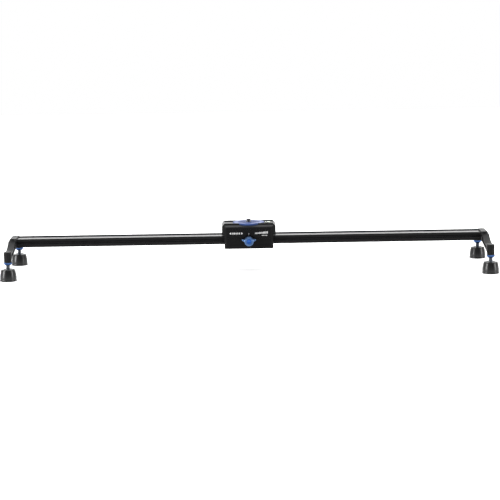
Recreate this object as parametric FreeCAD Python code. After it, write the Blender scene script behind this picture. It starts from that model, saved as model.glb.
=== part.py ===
"""Camera slider: an aluminium rail on levelling feet, with a roller carriage, a brake and a head plate.

Frame: millimetres, +X along the rail to the right, front (the brake side) towards -Y, +Z up.
The origin is on the floor, under the middle of the rail.
"""

import FreeCAD, Part
import math
import os

# ---- Rail ----------------------------------------------------------------------------------------
RAIL_LENGTH = 900.0
RAIL_WIDTH = 45.0
RAIL_HEIGHT = 16.0
RAIL_RISE = 17.0             # underside of the rail above the underside of a leg boss
RAIL_LIP = 3.0               # width of each lip beside the shallow recess in the top
RAIL_RECESS = 2.0            # depth of that recess
RAIL_WALL = 2.5              # above and below the hollow core
RAIL_EDGE = 0.5              # chamfer on the outer corners
CORE_HALF = 11.0             # half width of the hollow core
PORT_OFFSET = 15.0           # screw ports, from the middle of the rail
GROOVE_HALF = 3.5            # half height of a track groove at its mouth
GROOVE_ROOT_HALF = 1.2       # half height of the relief slot behind the 45 degree flanks
GROOVE_RELIEF = 1.2          # depth of that relief slot

# ---- Rollers -------------------------------------------------------------------------------------
ROLLER_RADIUS = 6.0
ROLLER_TIP_HALF = 0.5
ROLLER_HALF_HEIGHT = 2.8
ROLLER_SPAN = 60.0           # between the two axles on one side
FLANK_GAP = 0.2              # between a roller's flank and the groove, measured upwards
RACE_RADIUS = 2.7
RACE_PROUD = 0.2             # the inner race stands proud of the roller at each end
AXLE_RADIUS = 1.5
AXLE_HEAD_RADIUS = 2.75
AXLE_HEAD_HEIGHT = 2.2
AXLE_GRIP = 10.0             # thread of an axle screw inside the carriage roof
BUSH_FLAT = 3.0              # centre to flat of the hexagonal eccentric bushes

# ---- Carriage ------------------------------------------------------------------------------------
CARRIAGE_LENGTH = 93.0       # over the front cover
COVER_GAP = 1.3              # rollers to the inside of a cover
COVER_WALL = 2.0
COVER_CORNER = 3.5           # chamfer on the upright edges
COVER_RETURN = 9.0           # how far a cover wraps round the ends
COVER_DROP = 7.5             # lower edge of the covers below the rail's underside
ROOF_GAP = 2.0               # rail top to the underside of the carriage roof
ROOF_THICK = 15.0
LINE_WIDTH = 0.9             # shadow lines in the covers
LINE_DEPTH = 0.5
LINE_RISES = (12.0, 28.5)    # shadow lines above the rail's underside
LUG_WIDTH = 5.8
LUG_GAP = 1.7                # lug to the side of the rail
LUG_DEPTH = 5.8
LUG_LOW = 4.0                # lower end of a lug below the rail's underside
COVER_SCREW_RISES = (2.0, 14.0)
CHEEK_HALF = 9.0             # half width of the block that holds the brake
CHEEK_LOW = 2.0              # lower end of that block below the rail's underside
END_PLATE_THICK = 4.8
END_PLATE_INSET = 4.5        # edges of an end plate behind the faces of the covers
END_PLATE_CHAMFER = 5.0
END_SCREW_OFFSET = 22.0
END_SCREW_RISE = 10.0        # above the underside of the carriage roof
SCREW_RADIUS = 1.5           # M3
SCREW_HEAD_RADIUS = 2.75
SCREW_HEAD_HEIGHT = 1.7
SCREW_LENGTH = 10.0

# ---- Head plate on top of the carriage -----------------------------------------------------------
PLATE_FLOOR = 5.0            # thickness of the plate at the floor of its tray
PLATE_RIM_HEIGHT = 2.0       # rim above that floor
PLATE_RIM_OUTER = 24.0
PLATE_RIM_INNER = 20.0
PLATE_EDGE = 1.6             # thickness of the lip that rests on a cover
PLATE_SHOULDER = 4.5         # top of the sloping shoulder, where it meets the rim
PLATE_SCREW_X = 40.0
PLATE_SCREW_Y = 14.0
DISC_RADIUS = 30.0
DISC_THICK = 3.6
DISC_EDGE = 0.6
PAD_RADIUS = 21.0
PAD_THICK = 1.0
DISC_SCREW_RADIUS = 14.0     # pitch radius of the three screws under the pad
DISC_SCREWS = 3
STUD_RADIUS = 4.7625         # 3/8 inch
STUD_STANDS = 6.4            # above the pad
STUD_NECK_RADIUS = 4.3       # unthreaded neck inside the disc
STUD_BELOW = 8.0             # below its flange
STUD_FLANGE_RADIUS = 8.0
STUD_FLANGE_THICK = 2.2
LEVEL_LENGTH = 12.5
LEVEL_HALF = 5.0
LEVEL_START = 31.0
LEVEL_DEPTH = 3.6            # pocket for the spirit level in the tray floor
LEVEL_HEIGHT = 4.7
VIAL_RADIUS = 2.4
VIAL_WALL = 0.5
VIAL_PROUD = 0.7             # top of the vial above its housing
VIAL_INSET = 1.2

# ---- Brake ---------------------------------------------------------------------------------------
BRAKE_TRAVEL = 0.5
SHOE_HALF_LENGTH = 6.0
SHOE_HALF_HEIGHT = 3.0
SHOE_TIP_HALF = 1.0
SHOE_DEPTH = 5.0             # straight part of the shoe behind its nose
SHOE_GAP = 0.2               # round the shoe in its slot
BRAKE_SCREW_RADIUS = 3.0     # M6, pitch 1.0
BRAKE_BUSH_RADIUS = 4.5
BUSH_FLANGE_RADIUS = 6.0
BUSH_FLANGE_THICK = 0.5
KNOB_STANDOFF = 1.3          # back of the knob in front of the cover
KNOB_RADIUS = 8.85
KNOB_DEPTH = 13.8
KNOB_EDGE = 1.6
KNOB_WALL = 4.0              # in front of the brake screw
WING_REACH = 13.8            # knob axis to the tip of a wing
WING_ROOT_HALF = 3.0
WING_TIP_HALF = 1.7
WING_INSET = 2.0             # wing edges behind the knob's two faces
WING_RISE_DEG = 12.0
CAP_RADIUS = 4.6
CAP_SINK = 1.2
CAP_PROUD = 0.5

# ---- End brackets and bumpers --------------------------------------------------------------------
BUMPER_COVER = 6.0           # rail end that the bumper and the bracket cover
BUMPER_THICK = 4.7
CAP_THICK = 9.8
CAP_SIDE = 1.25              # bracket beyond each side of the rail
CAP_OVER = 1.2               # bracket above the rail
CAP_UNDER = 1.0              # bracket below the rail
CAP_CORNER = 9.0             # upright outer corners
CAP_TOP_ROUND = 5.0
BUMPER_EASE = 0.2            # bumper inside the bracket's outline
EAR_REACH = 9.75             # bumper's ears beyond the bracket's cap, over the roots of the arms
EAR_INSET = 0.4              # ear face behind the bumper face
EAR_LOW = -1.5               # lower and upper edges of the ears, from the rail's underside
EAR_HIGH = 7.5
ARM_WIDTH = 13.0
ARM_CENTRE = 3.8             # middle of the arms beyond the inner face of the bracket's cap
ARM_TOP_START = 13.0         # top of the arm at its root, above the rail's underside
ARM_TOP_MID = 5.5
ARM_TOP_END = 0.5
ARM_MID_AT = 42.0
ARM_KNEE_AT = 66.0
ARM_LOW_START = -3.6         # underside of the arm at its root and at the boss
ARM_LOW_END = -13.4
ARM_RIB = 2.4
ARM_POCKET_DEPTH = 3.6
ARM_POCKET_INSET = 5.25      # start of a pocket beyond the bracket's cap
FOOT_SPREAD = 98.0           # rail axis to a foot's axis
BOSS_RADIUS = 7.25
BOSS_HEIGHT = 20.0
BOSS_ROOF = 1.5
BOSS_ROUND = 1.4
FLUTES = 5
FLUTE_STEP_DEG = 36.0
FLUTE_RADIUS = 1.1
FLUTE_MARGIN = 2.5
BRACKET_SCREW_RADIUS = 2.0   # M4
BRACKET_HEAD_RADIUS = 3.5
BRACKET_HEAD_HEIGHT = 4.0
BRACKET_SCREW_GRIP = 14.0

# ---- Feet ----------------------------------------------------------------------------------------
PAD_HEIGHT = 22.5
PAD_FOOT_RADIUS = 16.3
PAD_TOP_RADIUS = 13.0
PAD_FOOT_ROUND = 2.0
PAD_TOP_ROUND = 3.0
NECK_HEIGHT = 7.3            # foot pad to lock collar
COLLAR_HEIGHT = 5.0
COLLAR_RADIUS = 7.8
COLLAR_NECK_RADIUS = 4.9
COLLAR_BAND = 2.2
COLLAR_GAP = 0.2             # lock collar to the boss
FOOT_STUD_RADIUS = 4.0       # M8, pitch 1.25
FOOT_STUD_GRIP = 13.0        # thread inside the boss
FOOT_STUD_POINT = 0.6        # chamfer on the stud's upper end
FOOT_FLANGE_RADIUS = 5.5
FOOT_FLANGE_THICK = 3.0
SOCKET_RADIUS = 8.0
SOCKET_FLOOR = 6.0           # underside of the socket above the floor
SOCKET_WALL = 3.0
SOCKET_SINK = 1.0            # top of the socket below the top of the pad

# ---- Tripod block --------------------------------------------------------------------------------
BLOCK_HALF_LENGTH = 32.0
BLOCK_HALF_WIDTH = 20.0
BLOCK_CLEAR = 2.5            # underside of the block below the covers
BLOCK_EDGE = 1.5
BIG_TAP_RADIUS = 3.97        # tapping hole for 3/8 inch
SMALL_TAP_RADIUS = 2.55      # tapping hole for 1/4 inch
BIG_INSERT_RADIUS = 6.5
SMALL_INSERT_RADIUS = 4.5
SMALL_TAP_X = 17.0
INSERT_SHORT = 1.0           # upper ends of the inserts below the rail's underside
BLOCK_SCREW_X = 26.0
BLOCK_SCREW_Y = 14.5
BLOCK_SCREW_GRIP = 4.5

# ---- Clearances ----------------------------------------------------------------------------------
THREAD_GAP = 0.05            # radial, screw to hole and shaft to bearing
SEAT_GAP = 0.1               # between pieces that are fixed to each other

# ---- Places worked out from the sizes above ------------------------------------------------------
Z_COLLAR = PAD_HEIGHT + NECK_HEIGHT
Z_BOSS = Z_COLLAR + COLLAR_HEIGHT + COLLAR_GAP
Z_RAIL = Z_BOSS + RAIL_RISE
Z_RAIL_TOP = Z_RAIL + RAIL_HEIGHT
Z_TRACK = Z_RAIL + RAIL_HEIGHT / 2
Z_ROOF = Z_RAIL_TOP + ROOF_GAP
Z_PLATE = Z_ROOF + ROOF_THICK
Z_TRAY = Z_PLATE + PLATE_FLOOR
Z_RIM = Z_TRAY + PLATE_RIM_HEIGHT
Z_DISC = Z_RIM - DISC_THICK
Z_COVER = Z_RAIL - COVER_DROP
Z_BLOCK = Z_COVER - BLOCK_CLEAR
RAIL_HALF = RAIL_WIDTH / 2
GROOVE_DEPTH = GROOVE_HALF - GROOVE_ROOT_HALF
GROOVE_APEX = RAIL_HALF - GROOVE_HALF           # where the two flanks would meet
ROLLER_Y = GROOVE_APEX + FLANK_GAP + ROLLER_TIP_HALF + ROLLER_RADIUS
ROLLER_X = ROLLER_SPAN / 2
CARRIAGE_HALF = CARRIAGE_LENGTH / 2
DEPTH_HALF = ROLLER_Y + ROLLER_RADIUS + COVER_GAP + COVER_WALL
ROOF_HALF = DEPTH_HALF - COVER_WALL - SEAT_GAP
END_PLATE_HALF = DEPTH_HALF - END_PLATE_INSET
LUG_INNER = RAIL_HALF + LUG_GAP
LUG_OUTER = LUG_INNER + LUG_DEPTH
LUG_X = CARRIAGE_HALF - COVER_WALL - SEAT_GAP - LUG_WIDTH / 2
RAIL_END = RAIL_LENGTH / 2
X_BUMPER = RAIL_END - BUMPER_COVER
X_CAP = X_BUMPER + BUMPER_THICK
X_CAP_END = X_CAP + CAP_THICK
LEG_X = X_CAP + ARM_CENTRE
CAP_HALF = RAIL_HALF + CAP_SIDE
EAR_HALF = CAP_HALF + EAR_REACH
ARM_POCKET_START = CAP_HALF + ARM_POCKET_INSET
SHOE_NOSE = GROOVE_APEX + SHOE_TIP_HALF + BRAKE_TRAVEL + FLANK_GAP / 2
SHOE_SHOULDER = SHOE_NOSE + SHOE_HALF_HEIGHT - SHOE_TIP_HALF
SHOE_BACK = SHOE_SHOULDER + SHOE_DEPTH
KNOB_BACK = DEPTH_HALF + KNOB_STANDOFF
KNOB_FRONT = KNOB_BACK + KNOB_DEPTH

X_AXIS = FreeCAD.Vector(1, 0, 0)
Y_AXIS = FreeCAD.Vector(0, 1, 0)
Z_AXIS = FreeCAD.Vector(0, 0, 1)
ORIGIN = FreeCAD.Vector(0, 0, 0)


# ---- Helpers -------------------------------------------------------------------------------------
def point(x, y, z):
    return FreeCAD.Vector(x, y, z)


def block(x_span, y_span, z_span):
    """A box from its lowest and highest value along each axis, given in either order."""
    (x0, x1), (y0, y1), (z0, z1) = sorted(x_span), sorted(y_span), sorted(z_span)
    return Part.makeBox(x1 - x0, y1 - y0, z1 - z0, point(x0, y0, z0))


def rod(radius, start, end):
    """A round bar from one point to another."""
    along = end - start
    return Part.makeCylinder(radius, along.Length, start, along)


def taper(start_radius, end_radius, start, end):
    """A cone frustum from one point to another."""
    along = end - start
    return Part.makeCone(start_radius, end_radius, along.Length, start, along)


def prism(points, direction):
    """The closed polygon through the points, carried along a direction."""
    return Part.Face(Part.makePolygon(points + [points[0]])).extrude(direction)


def turned(profile, x, y):
    """A solid of revolution about the upright line at x, y, from (radius, height) pairs."""
    corners = [point(x + radius, y, height) for radius, height in profile]
    outline = Part.Face(Part.makePolygon(corners + [corners[0]]))
    return outline.revolve(point(x, y, 0), Z_AXIS, 360)


def edges_on_circle(shape, radius, height):
    """The level circular edges of one radius at one height."""
    found = []
    for edge in shape.Edges:
        if not isinstance(edge.Curve, Part.Circle):
            continue
        level = abs(edge.CenterOfMass.z - height) < THREAD_GAP
        if level and abs(edge.Curve.Radius - radius) < THREAD_GAP:
            found.append(edge)
    return found


def upright_edges(box):
    """The four upright edges of a box."""
    return [edge for edge in box.Edges if edge.BoundBox.ZLength > THREAD_GAP]


def cut_all(shape, tools):
    for tool in tools:
        shape = shape.cut(tool)
    return shape


def join_all(shapes):
    shape = shapes[0]
    for other in shapes[1:]:
        shape = shape.fuse(other)
    return shape.removeSplitter()


def flip_x(shape):
    return shape.mirror(ORIGIN, X_AXIS)


def flip_y(shape):
    return shape.mirror(ORIGIN, Y_AXIS)


def machine_screw(seat, direction, radius, head_radius, head_height, length):
    """A cap screw: seat is the point under its head, direction is the way its thread points."""
    head = rod(head_radius, seat - direction * head_height, seat)
    thread = rod(radius, seat, seat + direction * length)
    return head.fuse(thread).removeSplitter()


def sunk_screw(face, direction, length):
    """A countersunk M3 screw: face is the point in the middle of its flat head."""
    neck = face + direction * SCREW_HEAD_HEIGHT
    head = taper(SCREW_HEAD_RADIUS, SCREW_RADIUS, face, neck)
    thread = rod(SCREW_RADIUS, neck, face + direction * length)
    return head.fuse(thread).removeSplitter()


def sunk_hole(face, direction, length):
    """The hole that a countersunk M3 screw sits in."""
    neck = face + direction * SCREW_HEAD_HEIGHT
    head = taper(SCREW_HEAD_RADIUS + THREAD_GAP, SCREW_RADIUS + THREAD_GAP, face, neck)
    thread = rod(SCREW_RADIUS + THREAD_GAP, face, face + direction * (length + SEAT_GAP))
    return head.fuse(thread)


# ---- Rail ----------------------------------------------------------------------------------------
def rail_section(grow):
    """The rail's outline at its left end, larger all round by a clearance."""
    half = RAIL_HALF + grow
    low = Z_RAIL - grow
    high = Z_RAIL_TOP + grow
    mouth = GROOVE_HALF - grow
    root = GROOVE_ROOT_HALF - grow
    flank = GROOVE_APEX + GROOVE_ROOT_HALF + grow
    relief = flank - GROOVE_RELIEF
    lip = RAIL_HALF - RAIL_LIP - grow
    floor = Z_RAIL_TOP - RAIL_RECESS + grow
    right = [
        (lip, floor),
        (lip, high),
        (half - RAIL_EDGE, high),
        (half, high - RAIL_EDGE),
        (half, Z_TRACK + mouth),
        (flank, Z_TRACK + root),
        (relief, Z_TRACK + root),
        (relief, Z_TRACK - root),
        (flank, Z_TRACK - root),
        (half, Z_TRACK - mouth),
        (half, low + RAIL_EDGE),
        (half - RAIL_EDGE, low),
    ]
    left = [(-y, z) for y, z in reversed(right)]
    return [point(-RAIL_END, y, z) for y, z in right + left]


def rail_extrusion():
    """The extruded rail: side track grooves, a shallow top recess, a hollow core and two screw ports."""
    full = X_AXIS * RAIL_LENGTH
    rail = prism(rail_section(0), full)
    core_high = Z_RAIL_TOP - RAIL_RECESS - RAIL_WALL
    core = block((-RAIL_END, RAIL_END), (-CORE_HALF, CORE_HALF), (Z_RAIL + RAIL_WALL, core_high))
    core = core.makeFillet(RAIL_EDGE, [edge for edge in core.Edges if edge.BoundBox.XLength > RAIL_WIDTH])
    tools = [core]
    for side in (-1, 1):
        start = point(-RAIL_END, side * PORT_OFFSET, Z_TRACK)
        tools.append(rod(BRACKET_SCREW_RADIUS + THREAD_GAP, start, start + full))
    for x, y in block_screw_places():
        foot = point(x, y, Z_RAIL)
        tools.append(rod(SCREW_RADIUS + THREAD_GAP, foot, foot + Z_AXIS * BLOCK_SCREW_GRIP))
    return cut_all(rail, tools)


# ---- Tripod block --------------------------------------------------------------------------------
def block_screw_places():
    return [(x, y) for x in (-BLOCK_SCREW_X, BLOCK_SCREW_X) for y in (-BLOCK_SCREW_Y, BLOCK_SCREW_Y)]


def block_screw_length():
    return Z_RAIL - Z_BLOCK + BLOCK_SCREW_GRIP - SEAT_GAP


def insert_places():
    """(x, outer radius, tapping radius) of the threaded inserts."""
    small = (SMALL_INSERT_RADIUS, SMALL_TAP_RADIUS)
    return [(0.0, BIG_INSERT_RADIUS, BIG_TAP_RADIUS), (SMALL_TAP_X, *small), (-SMALL_TAP_X, *small)]


def insert_ends(x):
    return point(x, 0, Z_BLOCK), point(x, 0, Z_RAIL - INSERT_SHORT)


def tripod_inserts():
    """Steel inserts pressed into the block, tapped for the two sizes of tripod screw."""
    inserts = []
    for x, outer, tap in insert_places():
        ends = insert_ends(x)
        inserts.append(rod(outer, *ends).cut(rod(tap, *ends)))
    return Part.makeCompound(inserts)


def tripod_block():
    """The block under the middle of the rail, bored through for its three threaded inserts."""
    across = (-BLOCK_HALF_WIDTH, BLOCK_HALF_WIDTH)
    body = block((-BLOCK_HALF_LENGTH, BLOCK_HALF_LENGTH), across, (Z_BLOCK, Z_RAIL))
    lower = [edge for edge in body.Edges if abs(edge.BoundBox.ZMax - Z_BLOCK) < THREAD_GAP]
    body = body.makeChamfer(BLOCK_EDGE, lower)
    tools = [rod(outer, point(x, 0, Z_BLOCK), point(x, 0, Z_RAIL)) for x, outer, tap in insert_places()]
    for x, y in block_screw_places():
        tools.append(sunk_hole(point(x, y, Z_BLOCK), Z_AXIS, block_screw_length()))
    return cut_all(body, tools)


def tripod_block_screws():
    length = block_screw_length()
    heads = [point(x, y, Z_BLOCK) for x, y in block_screw_places()]
    return Part.makeCompound([sunk_screw(head, Z_AXIS, length) for head in heads])


# ---- End brackets, built on the right and mirrored for the left ----------------------------------
def arm_top(y):
    """Height of the arm's top edge at y from the rail's axis: an arc, then level beyond the knee."""
    start = point(0, CAP_HALF, Z_RAIL + ARM_TOP_START)
    mid = point(0, ARM_MID_AT, Z_RAIL + ARM_TOP_MID)
    knee = point(0, ARM_KNEE_AT, Z_RAIL + ARM_TOP_END)
    if y >= ARM_KNEE_AT:
        return knee.z
    arc = Part.Arc(start, mid, knee)
    return arc.intersect(Part.LineSegment(point(0, y, 0), point(0, y, Z_RIM)))[0].Z


def arm_low(y):
    """Height of the arm's straight underside at a distance y from the rail's axis."""
    share = (y - CAP_HALF) / (FOOT_SPREAD - CAP_HALF)
    return Z_RAIL + ARM_LOW_START + share * (ARM_LOW_END - ARM_LOW_START)


def arm_solid(start, end, inset, x_span):
    """The arm's side outline from start to end, drawn in by inset and carried across x_span."""
    x0, x1 = x_span
    knee = point(x0, ARM_KNEE_AT, arm_top(ARM_KNEE_AT) - inset)
    first = point(x0, start, arm_top(start) - inset)
    middle_y = (start + ARM_KNEE_AT) / 2
    middle = point(x0, middle_y, arm_top(middle_y) - inset)
    upper_end = point(x0, end, arm_top(end) - inset)
    lower_end = point(x0, end, arm_low(end) + inset)
    lower_start = point(x0, start, arm_low(start) + inset)
    edges = [
        Part.Arc(first, middle, knee).toShape(),
        Part.LineSegment(knee, upper_end).toShape(),
        Part.LineSegment(upper_end, lower_end).toShape(),
        Part.LineSegment(lower_end, lower_start).toShape(),
        Part.LineSegment(lower_start, first).toShape(),
    ]
    return Part.Face(Part.Wire(edges)).extrude(X_AXIS * (x1 - x0))


def bracket_cap():
    """The cap over the rail's end: rounded in plan at the outer corners and over its top outer edge."""
    low = Z_RAIL - CAP_UNDER
    high = Z_RAIL_TOP + CAP_OVER
    plain = block((X_CAP, X_CAP_END), (-CAP_HALF, CAP_HALF), (low, high))
    outer = [edge for edge in plain.Edges if edge.BoundBox.XMin > X_CAP_END - SEAT_GAP]
    plan = plain.makeFillet(CAP_CORNER, [edge for edge in outer if edge.BoundBox.YLength < SEAT_GAP])
    side = plain.makeFillet(CAP_TOP_ROUND, [edge for edge in outer if edge.BoundBox.ZMin > high - SEAT_GAP])
    return plan.common(side)


def bracket_arm():
    """One arm with its recessed sides and the fluted boss for a foot, towards +Y."""
    half = ARM_WIDTH / 2
    arm = arm_solid(CAP_HALF, FOOT_SPREAD - BOSS_RADIUS / 2, 0, (LEG_X - half, LEG_X + half))
    root_heights = (arm_low(CAP_HALF), Z_RAIL + ARM_TOP_START)
    root = block((X_CAP, X_CAP_END), (CAP_HALF - ARM_RIB, CAP_HALF), root_heights)
    pocket_end = FOOT_SPREAD - BOSS_RADIUS - ARM_RIB
    for face in (-1, 1):
        outer = LEG_X + face * half
        span = sorted((outer, outer - face * ARM_POCKET_DEPTH))
        arm = arm.cut(arm_solid(ARM_POCKET_START, pocket_end, ARM_RIB, span))
    top = Z_BOSS + BOSS_HEIGHT
    boss = rod(BOSS_RADIUS, point(LEG_X, FOOT_SPREAD, Z_BOSS), point(LEG_X, FOOT_SPREAD, top))
    boss = boss.makeFillet(BOSS_ROUND, edges_on_circle(boss, BOSS_RADIUS, top))
    return join_all([arm, root, boss])


def boss_cuts():
    """The blind hole for the foot's stud and the upright flutes round the outside of the boss, towards +Y."""
    base = point(LEG_X, FOOT_SPREAD, Z_BOSS)
    cuts = [rod(FOOT_STUD_RADIUS + THREAD_GAP, base, base + Z_AXIS * (BOSS_HEIGHT - BOSS_ROOF))]
    for index in range(FLUTES):
        angle = math.radians(90 + (index - (FLUTES - 1) / 2) * FLUTE_STEP_DEG)
        offset = point(BOSS_RADIUS * math.cos(angle), BOSS_RADIUS * math.sin(angle), 0)
        low = base + offset + Z_AXIS * FLUTE_MARGIN
        cuts.append(rod(FLUTE_RADIUS, low, low + Z_AXIS * (BOSS_HEIGHT - 2 * FLUTE_MARGIN)))
    return cuts


def bracket_screw_places():
    """Seats of the two cap screws, under their heads."""
    seat_x = X_CAP_END - BRACKET_HEAD_HEIGHT - SEAT_GAP
    return [point(seat_x, side * PORT_OFFSET, Z_TRACK) for side in (-1, 1)]


def end_bracket():
    """The cast bracket on the right end: cap, two arms and two bosses."""
    arm = bracket_arm()
    body = join_all([bracket_cap(), arm, flip_y(arm)])
    tools = [prism(rail_section(SEAT_GAP), X_AXIS * (RAIL_LENGTH + SEAT_GAP))]
    for seat in bracket_screw_places():
        tools.append(rod(BRACKET_SCREW_RADIUS + SEAT_GAP, point(X_CAP, seat.y, seat.z), seat))
        tools.append(rod(BRACKET_HEAD_RADIUS + SEAT_GAP, seat, point(X_CAP_END, seat.y, seat.z)))
    for cut in boss_cuts():
        tools += [cut, flip_y(cut)]
    return cut_all(body, tools)


def end_bracket_screws():
    reach = bracket_screw_places()[0].x - RAIL_END + BRACKET_SCREW_GRIP
    sizes = (BRACKET_SCREW_RADIUS, BRACKET_HEAD_RADIUS, BRACKET_HEAD_HEIGHT, reach)
    return Part.makeCompound([machine_screw(seat, -X_AXIS, *sizes) for seat in bracket_screw_places()])


def bumper():
    """The rubber bumper round the right end of the rail, with an ear over the root of each arm."""
    half = CAP_HALF - BUMPER_EASE
    low = Z_RAIL - CAP_UNDER + BUMPER_EASE
    high = Z_RAIL_TOP + CAP_OVER - BUMPER_EASE
    frame = block((X_BUMPER, X_CAP), (-half, half), (low, high))
    arm_face = LEG_X - ARM_WIDTH / 2
    ear_heights = (Z_RAIL + EAR_LOW, Z_RAIL + EAR_HIGH)
    ears = block((X_BUMPER + EAR_INSET, arm_face), (-EAR_HALF, EAR_HALF), ear_heights)
    free = [edge for edge in ears.Edges if edge.BoundBox.XMax < arm_face - SEAT_GAP]
    ears = ears.makeFillet(EAR_INSET, free)
    across = RAIL_HALF + SEAT_GAP
    hole_heights = (Z_RAIL - SEAT_GAP, Z_RAIL_TOP + SEAT_GAP)
    hole = block((X_BUMPER - CAP_THICK, X_CAP), (-across, across), hole_heights)
    return frame.fuse(ears).removeSplitter().cut(hole)


# ---- Feet, built at one leg and mirrored to the others -------------------------------------------
def foot_pad():
    """The moulded foot: a blunt cone, rounded at both edges, hollow for its socket."""
    axis = point(LEG_X, FOOT_SPREAD, 0)
    pad = taper(PAD_FOOT_RADIUS, PAD_TOP_RADIUS, axis, axis + Z_AXIS * PAD_HEIGHT)
    pad = pad.makeFillet(PAD_FOOT_ROUND, edges_on_circle(pad, PAD_FOOT_RADIUS, 0))
    pad = pad.makeFillet(PAD_TOP_ROUND, edges_on_circle(pad, PAD_TOP_RADIUS, PAD_HEIGHT))
    floor = axis + Z_AXIS * (SOCKET_FLOOR - THREAD_GAP)
    hollow = rod(SOCKET_RADIUS + THREAD_GAP, floor, axis + Z_AXIS * PAD_HEIGHT)
    return pad.cut(hollow)


def foot_socket():
    """The socket pressed into the pad, which holds the flanged end of the stud and lets it turn."""
    floor = SOCKET_FLOOR + SOCKET_WALL - SEAT_GAP
    roof = SOCKET_FLOOR + SOCKET_WALL + FOOT_FLANGE_THICK + SEAT_GAP
    top = PAD_HEIGHT - SOCKET_SINK
    bore = FOOT_STUD_RADIUS + THREAD_GAP
    cavity = FOOT_FLANGE_RADIUS + THREAD_GAP
    profile = [
        (0, SOCKET_FLOOR),
        (SOCKET_RADIUS, SOCKET_FLOOR),
        (SOCKET_RADIUS, top),
        (bore, top),
        (bore, roof),
        (cavity, roof),
        (cavity, floor),
        (0, floor),
    ]
    return turned(profile, LEG_X, FOOT_SPREAD)


def foot_stud():
    """The levelling stud, with the flange that turns in the socket."""
    base = SOCKET_FLOOR + SOCKET_WALL
    shoulder = base + FOOT_FLANGE_THICK
    top = Z_BOSS + FOOT_STUD_GRIP
    profile = [
        (0, base),
        (FOOT_FLANGE_RADIUS, base),
        (FOOT_FLANGE_RADIUS, shoulder),
        (FOOT_STUD_RADIUS, shoulder),
        (FOOT_STUD_RADIUS, top - FOOT_STUD_POINT),
        (FOOT_STUD_RADIUS - FOOT_STUD_POINT, top),
        (0, top),
    ]
    return turned(profile, LEG_X, FOOT_SPREAD)


def lock_collar():
    """The conical lock nut between the foot and the boss."""
    top = Z_COLLAR + COLLAR_HEIGHT
    bore = FOOT_STUD_RADIUS + THREAD_GAP
    profile = [
        (bore, Z_COLLAR),
        (COLLAR_NECK_RADIUS, Z_COLLAR),
        (COLLAR_RADIUS, top - COLLAR_BAND),
        (COLLAR_RADIUS, top),
        (bore, top),
    ]
    return turned(profile, LEG_X, FOOT_SPREAD)


# ---- Carriage body, covers and end plates --------------------------------------------------------
def roller_places():
    """(x, y) of the four roller axles, by their name."""
    return {
        "front_left": (-ROLLER_X, -ROLLER_Y),
        "front_right": (ROLLER_X, -ROLLER_Y),
        "rear_left": (-ROLLER_X, ROLLER_Y),
        "rear_right": (ROLLER_X, ROLLER_Y),
    }


def cover_screw_places():
    """(x, z) of the screws that hold one cover to its two lugs."""
    return [(side * LUG_X, Z_RAIL + rise) for side in (-1, 1) for rise in COVER_SCREW_RISES]


def end_screw_places():
    return [(side * END_SCREW_OFFSET, Z_ROOF + END_SCREW_RISE) for side in (-1, 1)]


def plate_screw_places():
    return [(x, y) for x in (-PLATE_SCREW_X, PLATE_SCREW_X) for y in (-PLATE_SCREW_Y, PLATE_SCREW_Y)]


def disc_screw_places():
    """(x, y) of the screws under the head plate's pad, on their pitch circle."""
    turns = [math.radians(90 + index * 360 / DISC_SCREWS) for index in range(DISC_SCREWS)]
    return [(DISC_SCREW_RADIUS * math.cos(turn), DISC_SCREW_RADIUS * math.sin(turn)) for turn in turns]


def stud_flange_top():
    return Z_DISC - SEAT_GAP


def brake_axis(y):
    return point(0, y, Z_TRACK)


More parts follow.
